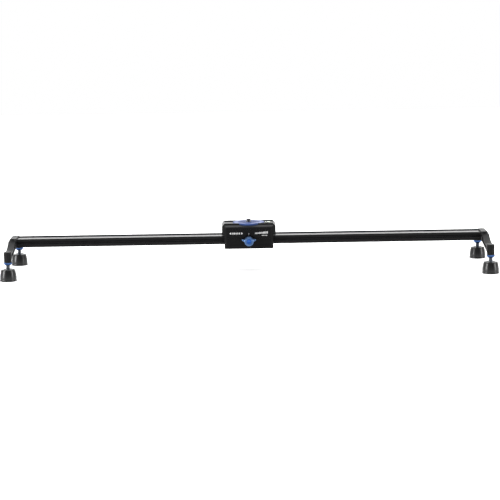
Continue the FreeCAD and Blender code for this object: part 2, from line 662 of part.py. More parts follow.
def carriage_body():
    """The machined bridge over the rail: roof, four lugs for the covers and the block for the brake."""
    inner_end = CARRIAGE_HALF - COVER_WALL - SEAT_GAP
    tongue = DEPTH_HALF - COVER_RETURN - SEAT_GAP
    roof = block((-inner_end, inner_end), (-ROOF_HALF, ROOF_HALF), (Z_ROOF, Z_PLATE))
    roof = roof.makeChamfer(COVER_CORNER, upright_edges(roof))
    ends = block((-CARRIAGE_HALF, CARRIAGE_HALF), (-tongue, tongue), (Z_ROOF, Z_PLATE))
    cheek = block((-CHEEK_HALF, CHEEK_HALF), (-LUG_INNER, -ROOF_HALF), (Z_RAIL - CHEEK_LOW, Z_ROOF))
    pieces = [roof, ends, cheek]
    low = Z_RAIL - LUG_LOW
    for side_x in (-1, 1):
        for side_y in (-1, 1):
            span = (side_x * (LUG_X - LUG_WIDTH / 2), side_x * (LUG_X + LUG_WIDTH / 2))
            pieces.append(block(span, (side_y * LUG_INNER, side_y * LUG_OUTER), (low, Z_ROOF)))
    body = join_all(pieces)
    tools = []
    for x, y in roller_places().values():
        start = point(x, y, Z_ROOF)
        tools.append(rod(AXLE_RADIUS + THREAD_GAP, start, start + Z_AXIS * AXLE_GRIP))
    for x, z in cover_screw_places():
        for side_y in (-1, 1):
            tools.append(sunk_hole(point(x, side_y * LUG_INNER, z), Y_AXIS * side_y, SCREW_LENGTH))
    for y, z in end_screw_places():
        for side_x in (-1, 1):
            start = point(side_x * CARRIAGE_HALF, y, z)
            tools.append(rod(SCREW_RADIUS + THREAD_GAP, start, start - X_AXIS * side_x * SCREW_LENGTH))
    for x, y in plate_screw_places() + disc_screw_places():
        start = point(x, y, Z_PLATE)
        tools.append(rod(SCREW_RADIUS + THREAD_GAP, start, start - Z_AXIS * SCREW_LENGTH))
    stud_low = stud_flange_top() - STUD_FLANGE_THICK - STUD_BELOW - SEAT_GAP
    tools.append(rod(STUD_RADIUS + THREAD_GAP, point(0, 0, stud_low), point(0, 0, Z_PLATE)))
    slot = SHOE_HALF_HEIGHT + SHOE_GAP
    slot_half = SHOE_HALF_LENGTH + SHOE_GAP
    tools.append(block((-slot_half, slot_half), (-LUG_INNER, -SHOE_BACK), (Z_TRACK - slot, Z_TRACK + slot)))
    tools.append(rod(BRAKE_BUSH_RADIUS + THREAD_GAP, brake_axis(-SHOE_BACK), brake_axis(-ROOF_HALF)))
    return cut_all(body, tools)


def front_shell():
    """The front cover's shell: a flat face, chamfered upright corners and short returns at the ends."""
    outer = [
        (-CARRIAGE_HALF, COVER_RETURN - DEPTH_HALF),
        (-CARRIAGE_HALF, COVER_CORNER - DEPTH_HALF),
        (COVER_CORNER - CARRIAGE_HALF, -DEPTH_HALF),
    ]
    corner = COVER_CORNER - COVER_WALL * (2 - math.sqrt(2))
    inner = [
        (COVER_WALL + corner - CARRIAGE_HALF, COVER_WALL - DEPTH_HALF),
        (COVER_WALL - CARRIAGE_HALF, COVER_WALL + corner - DEPTH_HALF),
        (COVER_WALL - CARRIAGE_HALF, COVER_RETURN - DEPTH_HALF),
    ]
    outline = outer + [(-x, y) for x, y in reversed(outer)] + [(-x, y) for x, y in reversed(inner)] + inner
    shell = prism([point(x, y, Z_COVER) for x, y in outline], Z_AXIS * (Z_PLATE - Z_COVER))
    tools = []
    for rise in LINE_RISES:
        heights = (Z_RAIL + rise, Z_RAIL + rise + LINE_WIDTH)
        reach = CARRIAGE_HALF - COVER_CORNER
        tools.append(block((-reach, reach), (-DEPTH_HALF, LINE_DEPTH - DEPTH_HALF), heights))
    pegs = []
    for x, z in cover_screw_places():
        inside = point(x, -LUG_OUTER, z)
        wall = point(x, COVER_WALL / 2 - DEPTH_HALF, z)
        pegs.append(rod(SCREW_HEAD_RADIUS, inside, wall))
        tip = point(x, -LUG_INNER - SCREW_LENGTH - SEAT_GAP, z)
        tools.append(rod(SCREW_RADIUS + THREAD_GAP, inside, tip))
    return cut_all(join_all([shell] + pegs), tools)


def front_cover():
    """The front cover, with the hole for the brake's bush."""
    hole = rod(BRAKE_BUSH_RADIUS + SEAT_GAP, brake_axis(-ROOF_HALF), brake_axis(-DEPTH_HALF))
    return front_shell().cut(hole)


def rear_cover():
    return flip_y(front_shell())


def cover_screws():
    screws = []
    for x, z in cover_screw_places():
        for side_y in (-1, 1):
            screws.append(sunk_screw(point(x, side_y * LUG_INNER, z), Y_AXIS * side_y, SCREW_LENGTH))
    return Part.makeCompound(screws)


def right_end_plate():
    """The plate on the right end of the carriage, chamfered over its top outer edge."""
    outer = CARRIAGE_HALF + END_PLATE_THICK
    corners = [
        (CARRIAGE_HALF, Z_ROOF),
        (outer, Z_ROOF),
        (outer, Z_RIM - END_PLATE_CHAMFER),
        (outer - END_PLATE_CHAMFER + SEAT_GAP * 3, Z_RIM),
        (CARRIAGE_HALF, Z_RIM),
    ]
    plate = prism([point(x, -END_PLATE_HALF, z) for x, z in corners], Y_AXIS * (2 * END_PLATE_HALF))
    tools = []
    for y, z in end_screw_places():
        seat = point(outer - SCREW_HEAD_HEIGHT - SEAT_GAP, y, z)
        tools.append(rod(SCREW_HEAD_RADIUS + SEAT_GAP, seat, point(outer, y, z)))
        tools.append(rod(SCREW_RADIUS + SEAT_GAP, point(CARRIAGE_HALF, y, z), seat))
    return cut_all(plate, tools)


def end_plate_screws():
    seat_x = CARRIAGE_HALF + END_PLATE_THICK - SCREW_HEAD_HEIGHT - SEAT_GAP
    sizes = (SCREW_RADIUS, SCREW_HEAD_RADIUS, SCREW_HEAD_HEIGHT, SCREW_LENGTH)
    right = [machine_screw(point(seat_x, y, z), -X_AXIS, *sizes) for y, z in end_screw_places()]
    return Part.makeCompound(right + [flip_x(screw) for screw in right])


# ---- Head plate ----------------------------------------------------------------------------------
def top_plate():
    """The tray-shaped plate on the carriage: sloping shoulders, two rims and the round seat for the disc."""
    right = [
        (PLATE_RIM_INNER, Z_TRAY),
        (PLATE_RIM_INNER, Z_RIM),
        (PLATE_RIM_OUTER, Z_RIM),
        (PLATE_RIM_OUTER, Z_PLATE + PLATE_SHOULDER),
        (DEPTH_HALF, Z_PLATE + PLATE_EDGE),
        (DEPTH_HALF, Z_PLATE),
    ]
    outline = right + [(-y, z) for y, z in reversed(right)]
    plate = prism([point(-CARRIAGE_HALF, y, z) for y, z in outline], X_AXIS * CARRIAGE_LENGTH)
    plan = block((-CARRIAGE_HALF, CARRIAGE_HALF), (-DEPTH_HALF, DEPTH_HALF), (Z_PLATE, Z_RIM))
    plate = plate.common(plan.makeChamfer(COVER_CORNER, upright_edges(plan)))
    seat = Z_DISC - SEAT_GAP
    tools = [rod(DISC_RADIUS + SEAT_GAP, point(0, 0, seat), point(0, 0, Z_RIM))]
    flange_low = stud_flange_top() - STUD_FLANGE_THICK - SEAT_GAP
    tools.append(rod(STUD_FLANGE_RADIUS + SEAT_GAP, point(0, 0, flange_low), point(0, 0, seat)))
    tools.append(rod(STUD_RADIUS + THREAD_GAP, point(0, 0, Z_PLATE), point(0, 0, flange_low)))
    level_low = Z_TRAY - LEVEL_DEPTH - SEAT_GAP
    x_span = (LEVEL_START - SEAT_GAP, LEVEL_START + LEVEL_LENGTH + SEAT_GAP)
    tools.append(block(x_span, (-LEVEL_HALF - SEAT_GAP, LEVEL_HALF + SEAT_GAP), (level_low, Z_RIM)))
    for x, y in plate_screw_places():
        tools.append(sunk_hole(point(x, y, Z_TRAY), -Z_AXIS, SCREW_LENGTH))
    for x, y in disc_screw_places():
        tools.append(rod(SCREW_RADIUS + THREAD_GAP, point(x, y, Z_PLATE), point(x, y, seat)))
    return cut_all(plate, tools)


def top_plate_screws():
    heads = [point(x, y, Z_TRAY) for x, y in plate_screw_places()]
    return Part.makeCompound([sunk_screw(head, -Z_AXIS, SCREW_LENGTH) for head in heads])


def pad_seat():
    return Z_RIM - PAD_THICK


def mounting_disc():
    """The round head plate: a rim round a sunk seat for the pad, with holes for the stud and three screws."""
    disc = rod(DISC_RADIUS, point(0, 0, Z_DISC), point(0, 0, Z_RIM))
    rims = edges_on_circle(disc, DISC_RADIUS, Z_RIM) + edges_on_circle(disc, DISC_RADIUS, Z_DISC)
    disc = disc.makeChamfer(DISC_EDGE, rims)
    tools = [rod(PAD_RADIUS + SEAT_GAP, point(0, 0, pad_seat()), point(0, 0, Z_RIM))]
    tools.append(rod(STUD_RADIUS + THREAD_GAP, point(0, 0, Z_DISC), point(0, 0, Z_RIM)))
    for x, y in disc_screw_places():
        tools.append(sunk_hole(point(x, y, pad_seat()), -Z_AXIS, DISC_THICK))
    return cut_all(disc, tools)


def disc_screws():
    heads = [point(x, y, pad_seat()) for x, y in disc_screw_places()]
    return Part.makeCompound([sunk_screw(head, -Z_AXIS, SCREW_LENGTH) for head in heads])


def disc_pad():
    pad = rod(PAD_RADIUS, point(0, 0, pad_seat()), point(0, 0, Z_RIM))
    return pad.cut(rod(STUD_RADIUS + SEAT_GAP * 3, point(0, 0, pad_seat()), point(0, 0, Z_RIM)))


def head_stud():
    """The screw that a camera head is turned on to, with the flange that the disc holds down."""
    flange_high = stud_flange_top()
    flange_low = flange_high - STUD_FLANGE_THICK
    top = Z_RIM + STUD_STANDS
    profile = [
        (0, flange_low - STUD_BELOW),
        (STUD_RADIUS, flange_low - STUD_BELOW),
        (STUD_RADIUS, flange_low),
        (STUD_FLANGE_RADIUS, flange_low),
        (STUD_FLANGE_RADIUS, flange_high),
        (STUD_NECK_RADIUS, flange_high),
        (STUD_NECK_RADIUS, Z_RIM),
        (STUD_RADIUS, Z_RIM),
        (STUD_RADIUS, top - DISC_EDGE),
        (STUD_RADIUS - DISC_EDGE, top),
        (0, top),
    ]
    return turned(profile, 0, 0)


def level_axis_height():
    return Z_TRAY - LEVEL_DEPTH + LEVEL_HEIGHT + VIAL_PROUD - VIAL_RADIUS


def level_rod(radius, inset):
    """A bar along the spirit level's axis, short of the housing's two ends by inset."""
    height = level_axis_height()
    start = point(LEVEL_START + inset, 0, height)
    return rod(radius, start, point(LEVEL_START + LEVEL_LENGTH - inset, 0, height))


def level_housing():
    low = Z_TRAY - LEVEL_DEPTH
    x_span = (LEVEL_START, LEVEL_START + LEVEL_LENGTH)
    housing = block(x_span, (-LEVEL_HALF, LEVEL_HALF), (low, low + LEVEL_HEIGHT))
    housing = housing.makeFillet(VIAL_INSET, upright_edges(housing))
    return housing.cut(level_rod(VIAL_RADIUS + THREAD_GAP, VIAL_INSET - THREAD_GAP))


def level_vial():
    return level_rod(VIAL_RADIUS, VIAL_INSET).cut(level_rod(VIAL_RADIUS - VIAL_WALL, VIAL_INSET))


def level_fluid():
    return level_rod(VIAL_RADIUS - VIAL_WALL, VIAL_INSET)


# ---- Rollers -------------------------------------------------------------------------------------
def roller(x, y):
    """A V roller: 45 degree flanks to a blunt tip, bored for its inner race."""
    low_radius = ROLLER_RADIUS - (ROLLER_HALF_HEIGHT - ROLLER_TIP_HALF)
    bore = RACE_RADIUS + THREAD_GAP
    profile = [
        (bore, Z_TRACK - ROLLER_HALF_HEIGHT),
        (low_radius, Z_TRACK - ROLLER_HALF_HEIGHT),
        (ROLLER_RADIUS, Z_TRACK - ROLLER_TIP_HALF),
        (ROLLER_RADIUS, Z_TRACK + ROLLER_TIP_HALF),
        (low_radius, Z_TRACK + ROLLER_HALF_HEIGHT),
        (bore, Z_TRACK + ROLLER_HALF_HEIGHT),
    ]
    return turned(profile, x, y)


def race_half():
    return ROLLER_HALF_HEIGHT + RACE_PROUD


def ring(outer, x, y, low, high):
    """A plain sleeve on an axle screw."""
    sleeve = rod(outer, point(x, y, low), point(x, y, high))
    return sleeve.cut(rod(AXLE_RADIUS + THREAD_GAP, point(x, y, low), point(x, y, high)))


def inner_races():
    half = race_half()
    low, high = Z_TRACK - half, Z_TRACK + half
    return Part.makeCompound([ring(RACE_RADIUS, x, y, low, high) for x, y in roller_places().values()])


def roller_axles():
    """The four shoulder screws that carry the rollers, turned up into the roof."""
    screws = []
    for x, y in roller_places().values():
        seat = point(x, y, Z_TRACK - race_half())
        grip = Z_ROOF + AXLE_GRIP - SEAT_GAP - seat.z
        screws.append(machine_screw(seat, Z_AXIS, AXLE_RADIUS, AXLE_HEAD_RADIUS, AXLE_HEAD_HEIGHT, grip))
    return Part.makeCompound(screws)


def roller_spacers():
    """The plain sleeves above the two front rollers."""
    low = Z_TRACK + race_half()
    front = [place for name, place in roller_places().items() if name.startswith("front")]
    return Part.makeCompound([ring(RACE_RADIUS, x, y, low, Z_ROOF) for x, y in front])


def eccentric_bushes():
    """The hexagonal bushes above the two rear rollers, turned to take up the play."""
    low = Z_TRACK + race_half()
    bushes = []
    corner = BUSH_FLAT / math.cos(math.radians(30))
    for name, (x, y) in roller_places().items():
        if name.startswith("rear"):
            turns = [math.radians(60 * index) for index in range(6)]
            corners = [point(x + corner * math.cos(turn), y + corner * math.sin(turn), low) for turn in turns]
            hexagon = prism(corners, Z_AXIS * (Z_ROOF - low))
            bushes.append(hexagon.cut(rod(AXLE_RADIUS + THREAD_GAP, point(x, y, low), point(x, y, Z_ROOF))))
    return Part.makeCompound(bushes)


# ---- Brake ---------------------------------------------------------------------------------------
def brake_shoe():
    """The nylon shoe whose wedge nose is pressed into the front track groove."""
    corners = [
        (-SHOE_NOSE, -SHOE_TIP_HALF),
        (-SHOE_NOSE, SHOE_TIP_HALF),
        (-SHOE_SHOULDER, SHOE_HALF_HEIGHT),
        (-SHOE_BACK, SHOE_HALF_HEIGHT),
        (-SHOE_BACK, -SHOE_HALF_HEIGHT),
        (-SHOE_SHOULDER, -SHOE_HALF_HEIGHT),
    ]
    start = [point(-SHOE_HALF_LENGTH, y, Z_TRACK + z) for y, z in corners]
    return prism(start, X_AXIS * (2 * SHOE_HALF_LENGTH))


def brake_bush():
    """The flanged threaded bush that passes through the cover into the carriage body."""
    back = -SHOE_BACK - BRAKE_TRAVEL - SEAT_GAP
    face = -DEPTH_HALF
    barrel = rod(BRAKE_BUSH_RADIUS, brake_axis(back), brake_axis(face))
    flange = rod(BUSH_FLANGE_RADIUS, brake_axis(face), brake_axis(face - BUSH_FLANGE_THICK))
    bore = rod(BRAKE_SCREW_RADIUS + THREAD_GAP, brake_axis(back), brake_axis(face - BUSH_FLANGE_THICK))
    return barrel.fuse(flange).removeSplitter().cut(bore)


def brake_screw():
    return rod(BRAKE_SCREW_RADIUS, brake_axis(-SHOE_BACK), brake_axis(KNOB_WALL - KNOB_FRONT))


def knob_wing(side):
    """One wing of the knob, tapering from the hub to its tip and rising towards it."""
    back = -KNOB_BACK - WING_INSET
    corners = [
        (0, -WING_ROOT_HALF),
        (side * (WING_REACH - WING_TIP_HALF), -WING_TIP_HALF),
        (side * WING_REACH, 0),
        (side * (WING_REACH - WING_TIP_HALF), WING_TIP_HALF),
        (0, WING_ROOT_HALF),
    ]
    depth = KNOB_DEPTH - 2 * WING_INSET
    wing = prism([point(x, back, Z_TRACK + z) for x, z in corners], -Y_AXIS * depth)
    wing.rotate(brake_axis(0), Y_AXIS, -side * WING_RISE_DEG)
    return wing


def brake_knob():
    """The winged knob: a chamfered hub with two wings, bored for the brake screw and sunk for its cap."""
    hub = rod(KNOB_RADIUS, brake_axis(-KNOB_BACK), brake_axis(-KNOB_FRONT))
    rims = [edge for edge in hub.Edges if isinstance(edge.Curve, Part.Circle)]
    hub = hub.makeFillet(KNOB_EDGE, rims)
    knob = join_all([hub, knob_wing(-1), knob_wing(1)])
    bore = rod(BRAKE_SCREW_RADIUS, brake_axis(-KNOB_BACK), brake_axis(KNOB_WALL - KNOB_FRONT))
    sink = rod(CAP_RADIUS + THREAD_GAP, brake_axis(CAP_SINK - KNOB_FRONT), brake_axis(-KNOB_FRONT))
    return cut_all(knob, [bore, sink])


def brake_knob_cap():
    cap = rod(CAP_RADIUS, brake_axis(CAP_SINK - KNOB_FRONT), brake_axis(-KNOB_FRONT - CAP_PROUD))
    front = [edge for edge in cap.Edges if edge.BoundBox.YMax < -KNOB_FRONT]
    return cap.makeFillet(CAP_PROUD, front)


# ---- The whole slider ----------------------------------------------------------------------------
def nodes():
    """Every piece in its place, by its node's name."""
    bracket = end_bracket()
    bracket_screws = end_bracket_screws()
    stop = bumper()
    made = {
        "rail_extrusion": rail_extrusion(),
        "left_end_bracket": flip_x(bracket),
        "right_end_bracket": bracket,
        "left_bracket_screws": flip_x(bracket_screws),
        "right_bracket_screws": bracket_screws,
        "left_bumper": flip_x(stop),
        "right_bumper": stop,
        "tripod_block": tripod_block(),
        "tripod_inserts": tripod_inserts(),
        "tripod_block_screws": tripod_block_screws(),
        "carriage_body": carriage_body(),
        "front_cover": front_cover(),
        "rear_cover": rear_cover(),
        "cover_screws": cover_screws(),
        "left_end_plate": flip_x(right_end_plate()),
        "right_end_plate": right_end_plate(),
        "end_plate_screws": end_plate_screws(),
        "top_plate": top_plate(),
        "top_plate_screws": top_plate_screws(),
        "mounting_disc": mounting_disc(),
        "disc_pad": disc_pad(),
        "disc_screws": disc_screws(),
        "head_stud": head_stud(),
        "level_housing": level_housing(),
        "level_vial": level_vial(),
        "level_fluid": level_fluid(),
        "roller_axles": roller_axles(),
        "inner_races": inner_races(),
        "roller_spacers": roller_spacers(),
        "eccentric_bushes": eccentric_bushes(),
        "brake_bush": brake_bush(),
        "brake_shoe": brake_shoe(),
        "brake_screw": brake_screw(),
        "brake_knob": brake_knob(),
        "brake_knob_cap": brake_knob_cap(),
    }
    for name, (x, y) in roller_places().items():
        made[name + "_roller"] = roller(x, y)
    foot_pieces = {
        "foot_pad": foot_pad(),
        "foot_socket": foot_socket(),
        "foot_stud": foot_stud(),
        "lock_collar": lock_collar(),
    }
    for piece, shape in foot_pieces.items():
        made["rear_right_" + piece] = shape
        made["rear_left_" + piece] = flip_x(shape)
        made["front_right_" + piece] = flip_y(shape)
        made["front_left_" + piece] = flip_x(flip_y(shape))
    return made


os.makedirs("parts", exist_ok=True)
for node, solid in nodes().items():
    solid.exportStep("parts/" + node + ".step")
    print(node, len(solid.Solids), round(solid.Volume, 1), solid.isValid())
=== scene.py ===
"""The camera slider's looks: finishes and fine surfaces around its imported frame, in metres."""

import math

import bpy
import numpy as np
from mathutils import Matrix, Vector


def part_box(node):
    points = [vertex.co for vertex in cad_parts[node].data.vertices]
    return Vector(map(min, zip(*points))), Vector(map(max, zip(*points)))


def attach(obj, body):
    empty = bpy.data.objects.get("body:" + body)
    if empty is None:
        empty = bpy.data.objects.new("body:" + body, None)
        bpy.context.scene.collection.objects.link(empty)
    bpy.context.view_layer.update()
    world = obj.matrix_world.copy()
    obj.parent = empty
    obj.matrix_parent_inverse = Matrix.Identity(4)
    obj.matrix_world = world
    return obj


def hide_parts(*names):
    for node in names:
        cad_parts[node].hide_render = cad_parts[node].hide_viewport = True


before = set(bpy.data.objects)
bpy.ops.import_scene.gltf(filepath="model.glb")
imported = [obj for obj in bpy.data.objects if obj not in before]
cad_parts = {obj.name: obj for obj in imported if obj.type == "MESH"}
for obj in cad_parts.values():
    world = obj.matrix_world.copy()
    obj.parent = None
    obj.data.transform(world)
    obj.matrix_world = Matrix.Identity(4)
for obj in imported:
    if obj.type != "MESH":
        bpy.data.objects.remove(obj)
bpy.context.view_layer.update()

# ---- Rail ----------------------------------------------------------------------------------------
# One length of aluminium extrusion with a track groove down each side and a shallow recess in its
# top. It is black anodised, so faint die lines run along it and the finish is satin, not painted.
MM = 0.001
ANODISED_BLACK = (0.0027, 0.0027, 0.003)
ANODISED_GREY = (0.0042, 0.0042, 0.0046)
EDGE_EASE = 0.35 * MM
EDGE_SAMPLES = 4
PATCHES_PER_METRE = 45.0
GRAIN_DETAIL = 3.0
GRAIN_STRENGTH = 0.6


def add_node(finish, kind, inputs, **settings):
    """Adds a shader node.

    Each input is a plain value or an output to link; settings are the node's own choices.
    """
    made = finish.node_tree.nodes.new("ShaderNode" + kind)
    for name, value in settings.items():
        setattr(made, name, value)
    for key, value in inputs.items():
        if isinstance(value, bpy.types.NodeSocket):
            finish.node_tree.links.new(value, made.inputs[key])
        else:
            made.inputs[key].default_value = value
    return made


def stretched_place(finish, stretch):
    """The piece's own place in metres, stretched along X, Y and Z so a pattern can run one way."""
    place = add_node(finish, "TexCoord", {}).outputs["Object"]
    return add_node(finish, "Mapping", {"Vector": place, "Scale": stretch}).outputs["Vector"]


def new_finish(name, colour, second_colour, roughness, metallic=0.0, specular=0.5):
    """A shader whose colour drifts between two tones in patches of about two centimetres."""
    finish = bpy.data.materials.new(name)
    finish.use_nodes = True
    shader = finish.node_tree.nodes["Principled BSDF"]
    shader.inputs["Roughness"].default_value = roughness
    shader.inputs["Metallic"].default_value = metallic
    shader.inputs["Specular IOR Level"].default_value = specular
    place = stretched_place(finish, (1, 1, 1))
    patches = add_node(finish, "TexNoise", {"Vector": place, "Scale": PATCHES_PER_METRE})
    tones = {"Factor": patches.outputs[0], 6: (*colour, 1), 7: (*second_colour, 1)}
    mixed = add_node(finish, "Mix", tones, data_type="RGBA")
    finish.node_tree.links.new(mixed.outputs[2], shader.inputs["Base Color"])
    return finish


def add_grain(finish, size, depth, roughness, stretch=(1, 1, 1)):
    """Noise of a given grain size, which swings the roughness and lifts the surface.

    The sharp edges under it are eased a little, so that they catch the light as broken edges do.
    """
    shader = finish.node_tree.nodes["Principled BSDF"]
    place = stretched_place(finish, stretch)
    noise = {"Vector": place, "Scale": 1 / size, "Detail": GRAIN_DETAIL}
    grain = add_node(finish, "TexNoise", noise).outputs[0]
    span = {"Value": grain, "To Min": roughness[0], "To Max": roughness[1]}
    spread = add_node(finish, "MapRange", span)
    finish.node_tree.links.new(spread.outputs[0], shader.inputs["Roughness"])
    edge = add_node(finish, "Bevel", {"Radius": EDGE_EASE}, samples=EDGE_SAMPLES).outputs[0]
    relief = {"Height": grain, "Distance": depth, "Strength": GRAIN_STRENGTH, "Normal": edge}
    lift = add_node(finish, "Bump", relief)
    finish.node_tree.links.new(lift.outputs[0], shader.inputs["Normal"])
    return finish


def dress(finish, *names):
    """Gives CAD pieces their finish, each in its own first material slot."""
    for name in names:
        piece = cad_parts[name]
        piece.data.materials.clear()
        piece.data.materials.append(finish)


rail_finish = new_finish("rail_anodised", ANODISED_BLACK, ANODISED_GREY, 0.34, 0.0, 0.11)
add_grain(rail_finish, 0.45 * MM, 0.006 * MM, (0.30, 0.40), (0.01, 1, 1))
dress(rail_finish, "rail_extrusion")

# ---- Tripod block --------------------------------------------------------------------------------
# A milled aluminium block screwed up under the middle of the rail, anodised like it. Three steel
# inserts are pressed in and tapped for tripod screws; four countersunk screws hold the block.
TURNS = 2 * math.pi
HEX_SOCKET = 1.25 * MM          # centre to flat
SOCKET_DEPTH = 1.2 * MM
SOCKET_LIP = 0.12 * MM
SOFT_EDGE = math.radians(32)
NO_LENGTH = 1e-9
SAME_POINT = 1e-7
THREAD_FLANK = math.radians(60)
THREAD_DEPTH = 0.54             # of the pitch
M3_RADIUS = 1.5 * MM
M3_HEAD = 2.75 * MM
M3_HEAD_HEIGHT = 1.7 * MM
M3_PITCH = 0.5 * MM
BLOCK_SCREW_X = 26 * MM
BLOCK_SCREW_Y = 14.5 * MM
SCREW_BLACK = (0.012, 0.012, 0.013)
STEEL = (0.46, 0.46, 0.45)
DARK_STEEL = (0.34, 0.34, 0.33)


def skin(rings, ends):
    """Points and faces over rings of points, each ring joined to the next.

    The rings are shaped (rings, points round, 3). Where ends is "closed", each end is a fan to the
    middle of its ring. Where it is "bored", the last ring joins the first. The points of a ring run
    anticlockwise seen from where the rings go.
    """
    count, around = rings.shape[:2]
    step = np.arange(around)
    after = (step + 1) % around
    low = (np.arange(count if ends == "bored" else count - 1) * around)[:, None]
    high = (low + around) % (count * around)
    quads = np.stack([low + step, low + after, high + after, high + step], axis=-1).reshape(-1, 4)
    points = rings.reshape(-1, 3)
    faces = quads.tolist()
    if ends == "closed":
        points = np.concatenate([points, rings[:1].mean(axis=1), rings[-1:].mean(axis=1)])
        first, last = count * around, (count - 1) * around
        faces += np.stack([np.full(around, first), after, step], axis=-1).tolist()
        faces += np.stack([np.full(around, first + 1), last + step, last + after], axis=-1).tolist()
    return points, faces


def piece_from(name, skins, finish, body, stands_for, sharp=SOFT_EDGE):
    """One object made of several skins, riding on a body, which may stand for CAD pieces.

    Its edges that are sharper than an angle stay sharp.
    """
    starts = np.cumsum([0] + [len(points) for points, _ in skins])
    numbered = zip(starts.tolist(), skins)
    faces = [[start + i for i in face] for start, (_, some) in numbered for face in some]
    points = np.concatenate([points for points, _ in skins])
    mesh = bpy.data.meshes.new(name)
    mesh.from_pydata(points.tolist(), [], faces)
    mesh.shade_smooth()
    mesh.set_sharp_from_angle(angle=sharp)
    mesh.materials.append(finish)
    piece = bpy.data.objects.new(name, mesh)
    bpy.context.scene.collection.objects.link(piece)
    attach(piece, body)
    if stands_for:
        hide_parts(*stands_for)
    return piece


def middle_of(node):
    low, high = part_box(node)
    return (low + high) / 2


def eased(outline, steps=4):
    """Rounds an outline's corners.

    Each row is (radius, height, ease): a corner becomes the curve that starts and ends at a
    distance ease from it along its two sides and is pulled towards it, which is
    (1-t)^2 start + 2t(1-t) corner + t^2 end.
    """
    rows = np.array(outline, float)
    spots, ease = rows[:, :2], rows[:, 2:]
    to_last = np.roll(spots, 1, axis=0) - spots
    to_next = np.roll(spots, -1, axis=0) - spots
    last_length = np.linalg.norm(to_last, axis=1, keepdims=True)
    next_length = np.linalg.norm(to_next, axis=1, keepdims=True)
    start = spots + ease * to_last / np.maximum(last_length, NO_LENGTH)
    end = spots + ease * to_next / np.maximum(next_length, NO_LENGTH)
    share = np.linspace(0, 1, steps)[None, :, None]
    pulled = 2 * share * (1 - share) * spots[:, None]
    curve = (1 - share) ** 2 * start[:, None] + pulled + share**2 * end[:, None]
    flat = curve.reshape(-1, 2)
    moved = np.linalg.norm(np.diff(flat, axis=0, prepend=flat[:1] - 1), axis=1) > SAME_POINT
    return flat[moved]


def round_rings(radius, height, around, foot=(0, 0, 0), axis="Z"):
    """Rings about an axis through foot.

    Each row gives a ring's radius, which may change round the ring, and its height. axis names the
    way the heights run: "Z" is up, "-Z" down, "X" right, "-X" left and "-Y" towards the front.
    """
    across, second, along = {
        "Z": ((1, 0, 0), (0, 1, 0), (0, 0, 1)),
        "-Z": ((0, 1, 0), (1, 0, 0), (0, 0, -1)),
        "X": ((0, 1, 0), (0, 0, 1), (1, 0, 0)),
        "-X": ((0, 0, 1), (0, 1, 0), (-1, 0, 0)),
        "-Y": ((1, 0, 0), (0, 0, 1), (0, -1, 0)),
    }[axis]
    turn = np.linspace(0, TURNS, around, endpoint=False)
    count = len(height)
    radius = np.broadcast_to(np.asarray(radius, float).reshape(count, -1), (count, around))
    flat = radius[..., None] * (np.outer(np.cos(turn), across) + np.outer(np.sin(turn), second))
    heights = np.broadcast_to(np.asarray(height, float).reshape(count, -1), (count, around))
    return np.array(foot) + flat + heights[..., None] * np.array(along)


def thread_drop(height, around, pitch):
    """How far a 60 degree thread lies below its crest at each height, for points round a ring.

    The distance along the axis to the nearest crest, which climbs one pitch a turn, less half a
    crest's flat, times the tangent of 60 degrees, and never past the root.
    """
    turn = np.arange(around) / around
    phase = (np.asarray(height)[:, None] / pitch - turn[None, :] + 0.5) % 1 - 0.5
    beyond_crest = np.abs(phase) * pitch - pitch / 16
    return np.clip(beyond_crest * math.tan(THREAD_FLANK), 0, THREAD_DEPTH * pitch)


def socket_screw(face, axis, head_outline, radius, length, pitch, flat, depth):
    """A screw with a hexagon socket.

    face is the middle of its head's face, and axis the way that face looks. The thread fades in
    over its first pitch and climbs to the head's outline of (radius, height below the face) rows.
    Then the socket's walls go down as a hexagon, whose radius is the flat over the cosine of the
    angle from the nearest flat.
    """
    around = 36
    head = eased(head_outline)
    neck = head[0, 1]
    thread_height = np.arange(-length, neck, pitch / 4)
    fade = np.clip((thread_height + length) / pitch, 0, 1)[:, None]
    thread = radius - thread_drop(thread_height, around, pitch) - (1 - fade) * pitch * 0.4
    turn = np.arange(around) * TURNS / around
    hexagon = flat / np.cos((turn + TURNS / 12) % (TURNS / 6) - TURNS / 12)
    head_radius = np.repeat(head[:, :1], around, axis=1)
    lip = np.stack([hexagon + SOCKET_LIP, hexagon, hexagon])
    radii = np.concatenate([thread, head_radius, lip])
    heights = np.concatenate([thread_height, head[:, 1], [0, -SOCKET_LIP, -depth]])
    return skin(round_rings(radii, heights, around, face, axis), "closed")


M3_SUNK = [
    (M3_RADIUS, -M3_HEAD_HEIGHT, 0),
    (M3_HEAD, -0.15 * MM, 0.05 * MM),
    (M3_HEAD, 0, 0.08 * MM),
]
block_finish = new_finish("block_anodised", ANODISED_BLACK, ANODISED_GREY, 0.4, 0.0, 0.3)
add_grain(block_finish, 0.3 * MM, 0.005 * MM, (0.34, 0.46), (0.05, 1, 1))
insert_finish = new_finish("insert_steel", STEEL, DARK_STEEL, 0.3, 1.0)
add_grain(insert_finish, 0.2 * MM, 0.003 * MM, (0.22, 0.4), (1, 1, 0.1))
screw_finish = new_finish("screw_black", SCREW_BLACK, (0.02, 0.02, 0.021), 0.35, 0.4, 0.4)
add_grain(screw_finish, 0.25 * MM, 0.002 * MM, (0.28, 0.42))
dress(block_finish, "tripod_block")
dress(insert_finish, "tripod_inserts")
block_low, block_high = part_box("tripod_block_screws")
block_screw_length = block_high.z - block_low.z
